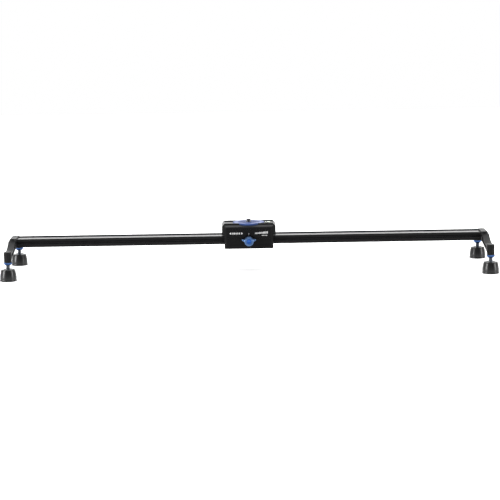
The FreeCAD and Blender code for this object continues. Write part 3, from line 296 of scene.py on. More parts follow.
block_screws = [
    socket_screw((x, y, block_low.z), "-Z", M3_SUNK, M3_RADIUS, block_screw_length,
                 M3_PITCH, HEX_SOCKET, SOCKET_DEPTH)
    for x in (-BLOCK_SCREW_X, BLOCK_SCREW_X)
    for y in (-BLOCK_SCREW_Y, BLOCK_SCREW_Y)
]
piece_from("block_screws", block_screws, screw_finish,
           "rail", ["tripod_block_screws"])

# ---- End brackets --------------------------------------------------------------------------------
# Cast aluminium brackets close the rail's two ends and spread into ribbed arms with a boss for
# each foot. They have a fine black powder coat; two M4 cap screws hold each one, in the rail's
# screw ports.
POWDER_BLACK = (0.007, 0.007, 0.0073)
POWDER_GREY = (0.010, 0.010, 0.0104)
M4_RADIUS = 2.0 * MM
M4_HEAD = 3.5 * MM
M4_HEAD_HEIGHT = 4.0 * MM
M4_PITCH = 0.7 * MM
M4_SOCKET = 1.5 * MM            # centre to flat
M4_SOCKET_DEPTH = 2.2 * MM
PORT_OFFSET = 15 * MM
M4_CAP = [
    (M4_RADIUS, -M4_HEAD_HEIGHT, 0),
    (M4_HEAD, -M4_HEAD_HEIGHT, 0.15 * MM),
    (M4_HEAD, 0, 0.35 * MM),
]

bracket_finish = new_finish("bracket_paint", POWDER_BLACK, POWDER_GREY, 0.5, 0.0, 0.085)
add_grain(bracket_finish, 0.5 * MM, 0.02 * MM, (0.44, 0.58))
dress(bracket_finish, "left_end_bracket", "right_end_bracket")
track_height = middle_of("rail_extrusion").z
for side, facing, sign in (("left", "-X", -1), ("right", "X", 1)):
    low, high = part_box(side + "_bracket_screws")
    length = high.x - low.x
    face_x = high.x if sign > 0 else low.x
    pair = [
        socket_screw((face_x, y, track_height), facing, M4_CAP, M4_RADIUS, length,
                     M4_PITCH, M4_SOCKET, M4_SOCKET_DEPTH)
        for y in (-PORT_OFFSET, PORT_OFFSET)
    ]
    piece_from(side + "_cap_screws", pair, screw_finish,
               "rail", [side + "_bracket_screws"])

# ---- Bumpers -------------------------------------------------------------------------------------
# A moulded rubber frame sits against each bracket, with an ear over the root of each arm.
# The carriage's covers run into the ears at the end of the travel.
RUBBER_BLACK = (0.0045, 0.0045, 0.005)
RUBBER_DUST = (0.008, 0.008, 0.008)
bumper_finish = new_finish("bumper_rubber", RUBBER_BLACK, RUBBER_DUST, 0.6, 0.0, 0.3)
add_grain(bumper_finish, 0.35 * MM, 0.012 * MM, (0.52, 0.7))
dress(bumper_finish, "left_bumper", "right_bumper")

# ---- Feet ----------------------------------------------------------------------------------------
# Each foot is a moulded rubber pad, a nylon socket pressed into it, a steel M8 stud that turns in
# the socket, and a blue anodised lock collar that is run up against the boss to hold the height.
QUADS = ("front_left", "front_right", "rear_left", "rear_right")
PAD_HEIGHT = 22.5 * MM
PAD_FOOT = 16.3 * MM
PAD_TOP = 13.0 * MM
PAD_BULGE = 0.7 * MM
SEAM_SHARE = 0.16               # of the pad's height
SOCKET_HOLE = 8.05 * MM
HOLE_FLOOR = 6.0 * MM
GRIP_RINGS = 4
GRIP_DEPTH = 0.5 * MM
MOULD_LINE = 0.12 * MM
STUD_RADIUS = 4.0 * MM
STUD_PITCH = 1.25 * MM
STUD_CHAMFER = 0.6 * MM
THREAD_PLAY = 0.03 * MM
FLANGE_RADIUS = 5.5 * MM
FLANGE_THICK = 3.0 * MM
COLLAR_RADIUS = 7.8 * MM
COLLAR_NECK = 4.9 * MM
COLLAR_BAND = 2.2 * MM
COLLAR_RIBS = 44
RIB_DEPTH = 0.22 * MM
ANODISED_BLUE = (0.038, 0.088, 0.23)
DEEP_BLUE = (0.03, 0.07, 0.185)
SOCKET_BLACK = (0.012, 0.012, 0.012)
SOCKET_GREY = (0.018, 0.018, 0.018)
STUD_STEEL = (0.11, 0.12, 0.14)
STUD_WORN = (0.16, 0.17, 0.19)


def foot_pad_skin(foot):
    """A rubber pad turned about the foot's axis.

    Its underside dips in grip rings, radius by radius, as a raised cosine. Its side tapers, with a
    mould line low down, and bulges by a sine of the share of its height. Its top turns into the
    hole.
    """
    taper = (PAD_FOOT - PAD_TOP) / PAD_HEIGHT
    under = np.linspace(2 * MM, PAD_FOOT - 3 * MM, 12 * GRIP_RINGS)
    dip = 0.5 - 0.5 * np.cos(np.linspace(0, TURNS * GRIP_RINGS, 12 * GRIP_RINGS))
    seam = PAD_HEIGHT * SEAM_SHARE
    rises = np.linspace(0.3, 0.86, 8) * PAD_HEIGHT
    bulges = PAD_FOOT - taper * rises + PAD_BULGE * np.sin(math.pi * rises / PAD_HEIGHT)
    side = [
        (PAD_FOOT, 0, 2.0 * MM),
        (PAD_FOOT - taper * (seam - MOULD_LINE), seam - MOULD_LINE, 0),
        (PAD_FOOT - taper * seam + MOULD_LINE, seam, 0.04 * MM),
        (PAD_FOOT - taper * (seam + MOULD_LINE), seam + MOULD_LINE, 0),
        *((radius, height, 0) for radius, height in zip(bulges, rises)),
        (PAD_TOP, PAD_HEIGHT, 2.6 * MM),
        (SOCKET_HOLE, PAD_HEIGHT, 0.3 * MM),
        (SOCKET_HOLE, HOLE_FLOOR, 0),
    ]
    outline = np.concatenate([np.stack([under, GRIP_DEPTH * dip], axis=1), eased(side, 7)])
    return skin(round_rings(outline[:, 0], outline[:, 1], 96, foot), "closed")


def foot_stud_skin(foot, low, high):
    """A flange under a threaded rod with a chamfer at its upper end.

    The rod's radius drops into the thread's valleys, turn by turn.
    """
    around = 48
    flange = np.array([(FLANGE_RADIUS, low), (FLANGE_RADIUS, low + FLANGE_THICK)])
    height = np.arange(low + FLANGE_THICK, high, STUD_PITCH / 10)
    chamfer = np.clip(height - (high - STUD_CHAMFER), 0, None)[:, None]
    start = np.clip((height - low - FLANGE_THICK) / STUD_PITCH, 0, 1)[:, None]
    crest = STUD_RADIUS - THREAD_PLAY
    thread = crest - start * thread_drop(height, around, STUD_PITCH) - chamfer
    radii = np.concatenate([np.repeat(flange[:, :1], around, axis=1), thread])
    heights = np.concatenate([flange[:, 1], height])
    return skin(round_rings(radii, heights, around, foot), "closed")


def lock_collar_skin(foot, low, high):
    """A bored cone under a band with straight ribs.

    The band's radius falls by the ribs' depth times a rounded wave: the square of the cosine of
    half the count of ribs times the angle.
    """
    around = COLLAR_RIBS * 6
    bore = STUD_RADIUS + 0.06 * MM
    corners = [
        (bore, low, 0.1 * MM),
        (COLLAR_NECK, low, 0.3 * MM),
        (COLLAR_RADIUS, high - COLLAR_BAND, 0.25 * MM),
        (COLLAR_RADIUS, high, 0.35 * MM),
        (bore, high, 0.2 * MM),
    ]
    outline = eased(corners, 5)
    turn = np.arange(around) * TURNS / around
    wave = np.cos(turn * COLLAR_RIBS / 2) ** 2
    banded = np.clip((outline[:, 0] - COLLAR_RADIUS + 1.0 * MM) / MM, 0, 1)[:, None]
    radius = outline[:, :1] - RIB_DEPTH * banded * wave[None, :]
    return skin(round_rings(radius, outline[:, 1], around, foot), "bored")


foot_finish = new_finish("foot_rubber", RUBBER_BLACK, RUBBER_DUST, 0.3, 0.0, 0.3)
add_grain(foot_finish, 0.4 * MM, 0.004 * MM, (0.27, 0.34))
socket_finish = new_finish("foot_socket_plastic", SOCKET_BLACK, SOCKET_GREY, 0.45)
add_grain(socket_finish, 0.6 * MM, 0.004 * MM, (0.4, 0.52))
foot_stud_finish = new_finish("foot_stud_steel", STUD_STEEL, STUD_WORN, 0.3, 1.0)
add_grain(foot_stud_finish, 0.25 * MM, 0.003 * MM, (0.24, 0.4))
collar_finish = new_finish("collar_blue", ANODISED_BLUE, DEEP_BLUE, 0.3, 0.9)
add_grain(collar_finish, 0.2 * MM, 0.003 * MM, (0.24, 0.38), (1, 1, 0.15))
for quad in QUADS:
    axis = middle_of(quad + "_foot_pad")
    foot = (axis.x, axis.y, 0)
    piece_from(quad + "_rubber_foot", [foot_pad_skin(foot)], foot_finish, quad + "_foot",
               [quad + "_foot_pad"])
    dress(socket_finish, quad + "_foot_socket")
    low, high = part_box(quad + "_foot_stud")
    piece_from(quad + "_levelling_stud", [foot_stud_skin(foot, low.z, high.z)], foot_stud_finish,
               quad + "_stud_body", [quad + "_foot_stud"])
    low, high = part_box(quad + "_lock_collar")
    piece_from(quad + "_ribbed_collar", [lock_collar_skin(foot, low.z, high.z)], collar_finish,
               quad + "_collar_body", [quad + "_lock_collar"])

# ---- Carriage body and rollers -------------------------------------------------------------------
# A milled and anodised bridge straddles the rail. Four acetal V rollers on steel shoulder screws
# hang from it and run in the track grooves; the rear pair sit on hexagonal eccentric bushes that
# take up the play.
ACETAL = (0.030, 0.030, 0.032)
carriage_finish = new_finish("carriage_anodised", ANODISED_BLACK, ANODISED_GREY, 0.4, 0.0, 0.3)
add_grain(carriage_finish, 0.35 * MM, 0.004 * MM, (0.34, 0.46), (0.08, 1, 1))
roller_finish = new_finish("roller_acetal", ACETAL, (0.04, 0.04, 0.042), 0.36)
add_grain(roller_finish, 0.3 * MM, 0.003 * MM, (0.3, 0.42), (1, 1, 0.2))
bearing_finish = new_finish("bearing_steel", STEEL, DARK_STEEL, 0.2, 1.0)
add_grain(bearing_finish, 0.15 * MM, 0.0015 * MM, (0.16, 0.28), (1, 1, 0.1))
dress(carriage_finish, "carriage_body")
dress(roller_finish, *[quad + "_roller" for quad in QUADS])
dress(bearing_finish, "inner_races", "roller_axles", "roller_spacers", "eccentric_bushes")

# ---- Brake ---------------------------------------------------------------------------------------
# A brass bush is screwed through the front cover into the body, and a steel M6 screw turns in it.
# The screw presses a nylon shoe into the front track groove.
BRASS = (0.56, 0.40, 0.16)
DULL_BRASS = (0.47, 0.33, 0.13)
NYLON = (0.62, 0.60, 0.53)
DULL_NYLON = (0.55, 0.53, 0.47)
NYLON_DEPTH = 0.1
bush_finish = new_finish("brake_bush_brass", BRASS, DULL_BRASS, 0.28, 1.0)
add_grain(bush_finish, 0.15 * MM, 0.002 * MM, (0.22, 0.36), (1, 0.1, 1))
shoe_finish = new_finish("brake_shoe_nylon", NYLON, DULL_NYLON, 0.45)
shoe_shader = shoe_finish.node_tree.nodes["Principled BSDF"]
shoe_shader.inputs["Subsurface Weight"].default_value = NYLON_DEPTH
add_grain(shoe_finish, 0.5 * MM, 0.003 * MM, (0.4, 0.52))
brake_screw_finish = new_finish("brake_screw_steel", STEEL, DARK_STEEL, 0.28, 1.0)
add_grain(brake_screw_finish, 0.2 * MM, 0.002 * MM, (0.2, 0.36))
dress(bush_finish, "brake_bush")
dress(shoe_finish, "brake_shoe")
dress(brake_screw_finish, "brake_screw")

# ---- Covers and end plates -----------------------------------------------------------------------
# Bent aluminium covers, held from inside, close the front and back; thicker plates close the two
# ends. All are bead blasted and anodised black, so their grain is even and finer than the
# brackets'.
COVER_BLACK = (0.0025, 0.0025, 0.0027)
COVER_GREY = (0.0036, 0.0036, 0.0038)
END_BLACK = (0.006, 0.006, 0.0065)
END_GREY = (0.009, 0.009, 0.0095)
cover_finish = new_finish("cover_anodised", COVER_BLACK, COVER_GREY, 0.4, 0.0, 0.075)
add_grain(cover_finish, 0.22 * MM, 0.008 * MM, (0.36, 0.48))
end_plate_finish = new_finish("end_plate_anodised", END_BLACK, END_GREY, 0.5, 0.0, 0.14)
add_grain(end_plate_finish, 0.22 * MM, 0.008 * MM, (0.44, 0.56))
dress(cover_finish, "front_cover", "rear_cover")
dress(end_plate_finish, "left_end_plate", "right_end_plate")
dress(screw_finish, "cover_screws", "disc_screws")
END_SCREW_LENGTH = 11.7 * MM
END_SCREW_HEAD = [
    (M3_RADIUS, -M3_HEAD_HEIGHT, 0),
    (M3_HEAD, -M3_HEAD_HEIGHT, 0.1 * MM),
    (M3_HEAD, 0, 0.4 * MM),
]
low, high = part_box("end_plate_screws")
end_screw_y = high.y - M3_HEAD
end_screw_height = (low.z + high.z) / 2
end_screws = [
    socket_screw((x, y, end_screw_height), way, END_SCREW_HEAD, M3_RADIUS, END_SCREW_LENGTH,
                 M3_PITCH, HEX_SOCKET, SOCKET_DEPTH)
    for x, way in ((low.x, "-X"), (high.x, "X"))
    for y in (-end_screw_y, end_screw_y)
]
piece_from("end_screws", end_screws, screw_finish, "carriage", ["end_plate_screws"])

# ---- Printed marks -------------------------------------------------------------------------------
# White pad-printed marks on the front cover: a travel symbol at the left, a stepped load scale at
# the right and a pointer over the brake knob. They are plain shapes, and a few hundredths of a
# millimetre thick.
PRINT_THICK = 0.03 * MM
PRINT_WHITE = (0.50, 0.50, 0.50)
PRINT_GREY = (0.44, 0.44, 0.44)
TRAVEL_MIDDLE = (-24.1 * MM, 74 * MM)
ARROW_OFFSET = 10.6 * MM
ARROW_SIZE = 2.3 * MM
TRAVEL_STEP = 3.1 * MM
TRAVEL_BAR = (1.9 * MM, 3.4 * MM)
SCALE_START = (12.4 * MM, 72.3 * MM)
SCALE_STEP = 2.55 * MM
SCALE_BAR_WIDTH = 1.55 * MM
TICK_STEP = 2.8 * MM
TICK_DROP = 2.6 * MM
TICK_BAR = (1.7 * MM, 1.5 * MM)
POINTER_RISE = 12.6 * MM
POINTER_BAR = (0.7 * MM, 4.2 * MM)


def printed(outline):
    """A flat shape on the cover from its (x, z) outline, anticlockwise seen from the front.

    The same outline lies just inside the cover's face and at the ink's face.
    """
    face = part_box("front_cover")[0].y
    outline = np.array(outline)
    depth = [face + PRINT_THICK / 2, face - PRINT_THICK]
    rings = np.stack([np.insert(outline, 1, y, axis=1) for y in depth])
    return skin(rings, "closed")


def printed_bar(x, z, width, height):
    """A bar with rounded corners, which are a circle's points pushed out towards the corners.

    Each coordinate is the cosine's or sine's size to the power of two fifths, with its sign, times
    half the bar's width or height.
    """
    turn = np.linspace(0, TURNS, 28, endpoint=False)
    unit = np.stack([np.cos(turn), np.sin(turn)], axis=1)
    unit = np.sign(unit) * np.abs(unit) ** 0.4
    return printed(np.array([x, z]) + unit * np.array([width, height]) / 2)


def printed_arrow(x, z, side, size):
    """A filled triangle that points to one side."""
    tail = -side * size * 0.5
    corners = [(side * size, 0), (tail, side * size), (tail, -side * size)]
    return printed(np.array([x, z]) + np.array(corners))


print_finish = new_finish("print_white", PRINT_WHITE, PRINT_GREY, 0.5)
add_grain(print_finish, 0.12 * MM, 0.004 * MM, (0.44, 0.58))
middle_x, middle_z = TRAVEL_MIDDLE
travel = [
    printed_arrow(middle_x + side * ARROW_OFFSET, middle_z, side, ARROW_SIZE) for side in (-1, 1)
]
travel += [
    printed_bar(middle_x + i * TRAVEL_STEP, middle_z, *TRAVEL_BAR) for i in (-2, -1, 0, 1, 2)
]
piece_from("travel_symbol", travel, print_finish, "carriage", [])
scale_x, scale_z = SCALE_START
scale = [
    printed_bar(scale_x + i * SCALE_STEP, scale_z + (1.6 + 0.17 * i) * MM,
                SCALE_BAR_WIDTH, (2.4 + 0.22 * i) * MM)
    for i in range(10)
]
tick_start = scale_x + 13 * MM
scale += [
    printed_bar(tick_start + i * TICK_STEP, scale_z - TICK_DROP, *TICK_BAR) for i in range(4)
]
piece_from("load_scale", scale, print_finish, "carriage", [])
pointer = [printed_bar(0, track_height + POINTER_RISE, *POINTER_BAR)]
piece_from("knob_pointer", pointer, print_finish, "carriage", [])

# ---- Brake knob ----------------------------------------------------------------------------------
# A turned and milled aluminium knob with two raised wings, blue anodised, on the end of the brake
# screw. A brighter blue cap is pressed into its face over the screw's end. The knob's own blue is
# lighter and greyer than the cap's: partly its blue, partly a painted reflection of its rounded
# rim.
KNOB_RADIUS = 8.85 * MM
WING_REACH = 13.8 * MM
WING_RISE = math.radians(12)
WING_WIDTH = math.radians(11)
WING_MARGIN = 0.6 * MM
WING_INSET = 2.0 * MM
KNOB_EDGE = 1.6 * MM
CAP_RADIUS = 4.6 * MM
CAP_SINK = 1.2 * MM
DISH_RADIUS = 1.7 * MM
DISH_DEPTH = 0.35 * MM
HUB_BLEND = 1.7 * MM
KNOB_RIBS = 30
KNOB_RIB_DEPTH = 0.25 * MM
# The knob's two blues are its blue plus a painted reflection of its rounded rim, lighter and greyer
# than the cap's.
KNOB_BLUE_AND_SHEEN = (0.055, 0.105, 0.215)
KNOB_DEEP_BLUE_AND_SHEEN = (0.046, 0.088, 0.18)
CAP_BLUE = (0.008, 0.060, 0.26)
CAP_DEEP_BLUE = (0.006, 0.05, 0.22)


def smooth_step(value):
    """Nought below 0, one above 1, and three squares less two cubes between."""
    share = np.clip(value, 0, 1)
    return share * share * (3 - 2 * share)


def brake_knob_skin(foot, depth):
    """A hub with two wings, ring by ring from its back to its face.

    A wing adds to the hub's radius, round the ring, a bell curve of the angle from the wing's
    middle; it fades in and out over two millimetres inside the knob's two faces. Fine ribs cut the
    hub between them.
    """
    around = 360
    turn = np.arange(around) * TURNS / around
    outline = eased([
        (KNOB_RADIUS - 2.4 * MM, 0, 0),
        (KNOB_RADIUS, 0, KNOB_EDGE),
        (KNOB_RADIUS, depth * 0.25, 0),
        (KNOB_RADIUS, depth * 0.5, 0),
        (KNOB_RADIUS, depth * 0.75, 0),
        (KNOB_RADIUS, depth, KNOB_EDGE),
        (CAP_RADIUS + 0.5 * MM, depth, 0.2 * MM),
        (CAP_RADIUS + 0.05 * MM, depth - 0.45 * MM, 0.1 * MM),
        (CAP_RADIUS + 0.05 * MM, depth - CAP_SINK, 0),
    ], 8)
    radius, height = outline[:, :1], outline[:, 1]
    side = smooth_step((radius - KNOB_RADIUS + HUB_BLEND) / HUB_BLEND)
    from_back = smooth_step((height - WING_MARGIN) / WING_INSET)
    from_face = smooth_step((depth - WING_MARGIN - height) / WING_INSET)
    raised = from_back * from_face
    off_right = np.abs((turn - WING_RISE + math.pi) % TURNS - math.pi)
    off_left = np.abs((turn - math.pi + WING_RISE + math.pi) % TURNS - math.pi)
    nearest = np.minimum(off_right, off_left)
    bell = np.exp(-((nearest / WING_WIDTH) ** 2))
    ribs = (0.5 - 0.5 * np.cos(turn * KNOB_RIBS)) ** 2 * np.clip(1 - 3 * bell, 0, 1)
    wings = (WING_REACH - KNOB_RADIUS) * raised[:, None] * bell[None, :]
    rings = radius + side * (wings - KNOB_RIB_DEPTH * raised[:, None] * ribs[None, :])
    return skin(round_rings(rings, height, around, foot, "-Y"), "closed")


def knob_cap_skin(foot, depth):
    """A pressed-in button whose flat face is rounded at its edge and dished at its middle.

    The dish is a bell curve of the radius.
    """
    corners = [(CAP_RADIUS, 0, 0.1 * MM), (CAP_RADIUS, depth, 0.45 * MM), (0.9 * MM, depth, 0)]
    outline = eased(corners, 6)
    across = np.linspace(CAP_RADIUS - 0.9 * MM, 0.2 * MM, 14)
    dished = depth - DISH_DEPTH * np.exp(-((across / DISH_RADIUS) ** 2))
    face = np.stack([across, dished], axis=1)
    rows = np.concatenate([outline[outline[:, 0] > CAP_RADIUS - 0.8 * MM], face])
    return skin(round_rings(rows[:, 0], rows[:, 1], 72, foot, "-Y"), "closed")


# The knob's material carries that painted rim reflection in its lighter, greyer blue.
knob_finish = new_finish("knob_blue", KNOB_BLUE_AND_SHEEN, KNOB_DEEP_BLUE_AND_SHEEN, 0.3, 0.85)
add_grain(knob_finish, 0.2 * MM, 0.003 * MM, (0.24, 0.38), (1, 0.15, 1))
knob_cap_finish = new_finish("knob_cap_blue", CAP_BLUE, CAP_DEEP_BLUE, 0.25, 0.55, 0.4)
add_grain(knob_cap_finish, 0.2 * MM, 0.002 * MM, (0.2, 0.32))
low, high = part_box("brake_knob")
knob = brake_knob_skin((0, high.y, track_height), high.y - low.y)
piece_from("winged_knob", [knob], knob_finish,
           "brake_knob_body", ["brake_knob"])
low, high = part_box("brake_knob_cap")
cap = knob_cap_skin((0, high.y, track_height), high.y - low.y)
piece_from("knob_button", [cap], knob_cap_finish,
           "brake_knob_body", ["brake_knob_cap"])

# ---- Top plate and spirit level ------------------------------------------------------------------
# A milled tray with sloping shoulders, anodised black, screwed down on the body with four sunk
# screws. A tubular level lies in a pocket at its right end: an acrylic vial with two rings, fluid
# and a bubble.
PLATE_BLACK = (0.008, 0.008, 0.0085)
PLATE_GREY = (0.012, 0.012, 0.0125)
HOUSING_BLACK = (0.014, 0.014, 0.014)
HOUSING_GREY = (0.02, 0.02, 0.02)
ACRYLIC = (0.93, 0.97, 0.94)
ACRYLIC_IOR = 1.49
FLUID_GREEN = (0.55, 0.93, 0.35)
FLUID_IOR = 1.36
BUBBLE_PALE = (0.86, 0.95, 0.84)
BUBBLE_SHADE = (0.8, 0.9, 0.78)
BUBBLE_LENGTH = 2.0 * MM        # these three are half sizes
BUBBLE_HEIGHT = 0.6 * MM
BUBBLE_WIDTH = 1.2 * MM
BUBBLE_SINK = 0.12 * MM
RING_OFFSET = 2.3 * MM
RING_WIDTH = 0.14 * MM
RING_THICK = 0.03 * MM
plate_finish = new_finish("plate_anodised", PLATE_BLACK, PLATE_GREY, 0.42, 0.0, 0.07)
add_grain(plate_finish, 0.4 * MM, 0.005 * MM, (0.36, 0.48), (0.06, 1, 1))
dress(plate_finish, "top_plate")
low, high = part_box("top_plate_screws")
plate_screws = [
    socket_screw((x, y, high.z), "Z", M3_SUNK, M3_RADIUS, high.z - low.z,
                 M3_PITCH, HEX_SOCKET, SOCKET_DEPTH)
    for x in (low.x + M3_HEAD, high.x - M3_HEAD)
    for y in (low.y + M3_HEAD, high.y - M3_HEAD)
]
piece_from("plate_screws", plate_screws, screw_finish,
           "carriage", ["top_plate_screws"])
housing_finish = new_finish("level_housing", HOUSING_BLACK, HOUSING_GREY, 0.4)
add_grain(housing_finish, 0.4 * MM, 0.004 * MM, (0.34, 0.46))
dress(housing_finish, "level_housing")


def clear_finish(name, colour, ior):
    """A clear material with a very slightly uneven surface, as acrylic and still fluid have."""
    finish = new_finish(name, colour, tuple(0.96 * part for part in colour), 0.04)
    shader = finish.node_tree.nodes["Principled BSDF"]
    shader.inputs["Transmission Weight"].default_value = 1.0
    shader.inputs["IOR"].default_value = ior
    return add_grain(finish, 2.0 * MM, 0.003 * MM, (0.02, 0.06))


def vial_band_skin(foot, radius, middle, width):
    """A ring printed round the vial: a thin square-edged band."""
    corners = [
        (radius - RING_THICK, middle - width, 0),
        (radius + RING_THICK, middle - width, 0.01 * MM),
        (radius + RING_THICK, middle + width, 0.01 * MM),
        (radius - RING_THICK, middle + width, 0),
    ]
    outline = eased(corners, 3)
    return skin(round_rings(outline[:, 0], outline[:, 1], 48, foot, "X"), "bored")


def bubble_skin(middle, half_length, half_height, half_width):
    """The bubble: an egg-shaped body, a half circle's profile scaled along, up and across."""
    arc = np.linspace(0.06, math.pi - 0.06, 22)
    rings = round_rings(np.sin(arc), -np.cos(arc), 32, (0, 0, 0), "X")
    halves = np.array([half_length, half_width, half_height])
    return skin(rings * halves + np.array(middle), "closed")


dress(clear_finish("level_glass", ACRYLIC, ACRYLIC_IOR), "level_vial")
dress(clear_finish("level_fluid", FLUID_GREEN, FLUID_IOR), "level_fluid")
low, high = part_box("level_vial")
vial_radius = (high.y - low.y) / 2
vial_axis = (low.z + high.z) / 2
vial_middle = (low.x + high.x) / 2
vial_centre = (vial_middle, 0, vial_axis)
bands = [
    vial_band_skin(vial_centre, vial_radius, side * RING_OFFSET, RING_WIDTH) for side in (-1, 1)
]
band_finish = new_finish("vial_ring_black", (0.01, 0.01, 0.01), (0.015, 0.015, 0.015), 0.5)
add_grain(band_finish, 0.2 * MM, 0.001 * MM, (0.45, 0.6))
piece_from("vial_rings", bands, band_finish, "carriage", [])
bubble_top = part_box("level_fluid")[1].z - BUBBLE_SINK
bubble_centre = (vial_middle, 0, bubble_top - BUBBLE_HEIGHT)
bubble = bubble_skin(bubble_centre, BUBBLE_LENGTH, BUBBLE_HEIGHT, BUBBLE_WIDTH)
bubble_finish = new_finish("vial_bubble", BUBBLE_PALE, BUBBLE_SHADE, 0.1)
add_grain(bubble_finish, 1.0 * MM, 0.001 * MM, (0.06, 0.12))
piece_from("vial_bubble", [bubble], bubble_finish, "carriage", [])

# ---- Head plate ----------------------------------------------------------------------------------
# A turned aluminium disc, blue anodised, with a straight-knurled rim and a rubber pad sunk in its
# face. The 3/8 inch steel stud for a camera head stands up through it, held down by its own flange
# underneath.
RIM_KNURLS = 150
KNURL_DEPTH = 0.28 * MM
DISC_EDGE = 0.6 * MM
RIM_BLEND = 0.35 * MM
PAD_RINGS = 7
PAD_RING_DEPTH = 0.35 * MM
PAD_SEAT = 21.1 * MM
PAD_THICK = 1.0 * MM
PAD_MARGIN = 0.6 * MM
PAD_EDGE_DROP = 0.25 * MM
PAD_FACE_DROP = 0.05 * MM
HEAD_STUD_RADIUS = 4.7625 * MM
HEAD_STUD_PITCH = 25.4 / 16 * MM
HEAD_FLANGE = 8.0 * MM
HEAD_NECK = 4.3 * MM
POINT_HEIGHT = 1.1 * MM
POINT_SLOPE = 0.8
FLANGE_GAP = 0.1 * MM
HEAD_FLANGE_THICK = 2.2 * MM
TOOL_MARK_PITCH = 0.35 * MM
TOOL_MARK_DEPTH = 0.004 * MM
KNURL_EDGE = math.radians(24)
DISC_BLUE = (0.042, 0.072, 0.20)
DISC_DEEP_BLUE = (0.035, 0.06, 0.168)
PAD_BLUE = (0.030, 0.045, 0.13)
PAD_DEEP_BLUE = (0.024, 0.036, 0.105)
HEAD_STEEL = (0.17, 0.17, 0.18)
HEAD_DARK_STEEL = (0.13, 0.13, 0.14)


def knurled_disc_skin(low, high, radius):
    """A bored disc whose face steps down to the pad's seat.

    The radius of its rim falls by the knurl's depth times a V wave, twice the distance round the
    ring to the nearest tooth's middle.
    """
    around = RIM_KNURLS * 4
    bore = HEAD_STUD_RADIUS + 0.05 * MM
    corners = [
        (bore, low, 0),
        (radius, low, DISC_EDGE),
        (radius, high, DISC_EDGE),
        (PAD_SEAT, high, 0.12 * MM),
        (PAD_SEAT, high - PAD_THICK, 0),
        (bore, high - PAD_THICK, 0),
    ]
    outline = eased(corners, 4)
    turn = np.arange(around) / 4
    vee = np.abs((turn + 0.5) % 1 - 0.5) * 2
    rim = np.clip((outline[:, :1] - radius + RIM_BLEND) / RIM_BLEND, 0, 1)
    rings = outline[:, :1] - KNURL_DEPTH * rim * vee[None, :]
    return skin(round_rings(rings, outline[:, 1], around), "bored")


def ringed_pad_skin(low, high, radius, hole):
    """A flat rubber ring whose face dips in narrow grooves.

    A groove's depth is the sixth power of a raised cosine of the radius.
    """
    across = np.linspace(radius - PAD_MARGIN, hole + PAD_MARGIN, 16 * PAD_RINGS)
    share = (across - hole) / (radius - hole)
    groove = (0.5 + 0.5 * np.cos(share * TURNS * PAD_RINGS)) ** 6
    face = np.stack([across, high - PAD_FACE_DROP - PAD_RING_DEPTH * groove], axis=1)
    start = np.array([(hole, low), (radius, low), (radius, high - PAD_EDGE_DROP)])
    outline = np.concatenate([start, face, [(hole, high - PAD_EDGE_DROP)]])
    return skin(round_rings(outline[:, 0], outline[:, 1], 128), "bored")


def head_stud_skin(low, high, flange_low, flange_high, thread_low):
    """The stud in the middle of the disc: lower thread, flange, plain neck and upper thread.

    A thread's radius drops into its valleys, and the upper one draws in over its last height.
    """
    around = 64
    lower = np.arange(low, flange_low, HEAD_STUD_PITCH / 10)
    upper = np.append(np.arange(thread_low, high, HEAD_STUD_PITCH / 14), high)
    collar = [
        (HEAD_FLANGE, flange_low),
        (HEAD_FLANGE, flange_high),
        (HEAD_NECK, flange_high),
        (HEAD_NECK, thread_low),
    ]
    plain = np.array(collar)
    point = np.clip(upper - (high - POINT_HEIGHT), 0, None)[:, None] * POINT_SLOPE
    start = smooth_step((upper - thread_low) / HEAD_STUD_PITCH)[:, None]
    worked = HEAD_STUD_RADIUS - thread_drop(upper, around, HEAD_STUD_PITCH)
    head = np.minimum(worked * start + HEAD_NECK * (1 - start), HEAD_STUD_RADIUS - point)
    foot = HEAD_STUD_RADIUS - THREAD_PLAY - thread_drop(lower, around, HEAD_STUD_PITCH)
    radii = np.concatenate([foot, np.repeat(plain[:, :1], around, axis=1), head])
    return skin(round_rings(radii, np.concatenate([lower, plain[:, 1], upper]), around), "closed")


def add_turning_rings(finish, pitch, depth):
    """Fine concentric tool marks about the disc's own axis, as a lathe leaves.

    They take the place of the grain's lift and the eased edges; the grain's roughness stays.
    """
    tree = finish.node_tree
    place = stretched_place(finish, (1, 1, 1))
    rings = {"Vector": place, "Scale": 1 / (pitch * 20), "Distortion": 0.1}
    marks = add_node(finish, "TexWave", rings, wave_type="RINGS", rings_direction="Z")
    relief = {"Height": marks.outputs["Fac"], "Distance": depth, "Strength": 0.5}
    lift = add_node(finish, "Bump", relief)
    tree.links.new(lift.outputs[0], tree.nodes["Principled BSDF"].inputs["Normal"])


low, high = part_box("mounting_disc")
disc_finish = new_finish("disc_blue", DISC_BLUE, DISC_DEEP_BLUE, 0.5, 0.5, 0.12)
add_grain(disc_finish, 0.3 * MM, 0.002 * MM, (0.46, 0.58))
add_turning_rings(disc_finish, TOOL_MARK_PITCH, TOOL_MARK_DEPTH)
disc = knurled_disc_skin(low.z, high.z, high.x)
piece_from("knurled_disc", [disc], disc_finish,
           "carriage", ["mounting_disc"], KNURL_EDGE)
rim_height, disc_low = high.z, low.z
low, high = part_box("disc_pad")
pad_finish = new_finish("disc_pad", PAD_BLUE, PAD_DEEP_BLUE, 0.6, 0.0, 0.12)
add_grain(pad_finish, 0.3 * MM, 0.01 * MM, (0.55, 0.7))
pad = ringed_pad_skin(low.z, high.z, high.x, HEAD_STUD_RADIUS + 0.3 * MM)
piece_from("ringed_pad", [pad], pad_finish, "carriage", ["disc_pad"])
low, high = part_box("head_stud")
head_stud_finish = new_finish("stud_steel", HEAD_STEEL, HEAD_DARK_STEEL, 0.3, 1.0)
add_grain(head_stud_finish, 0.2 * MM, 0.002 * MM, (0.2, 0.34))
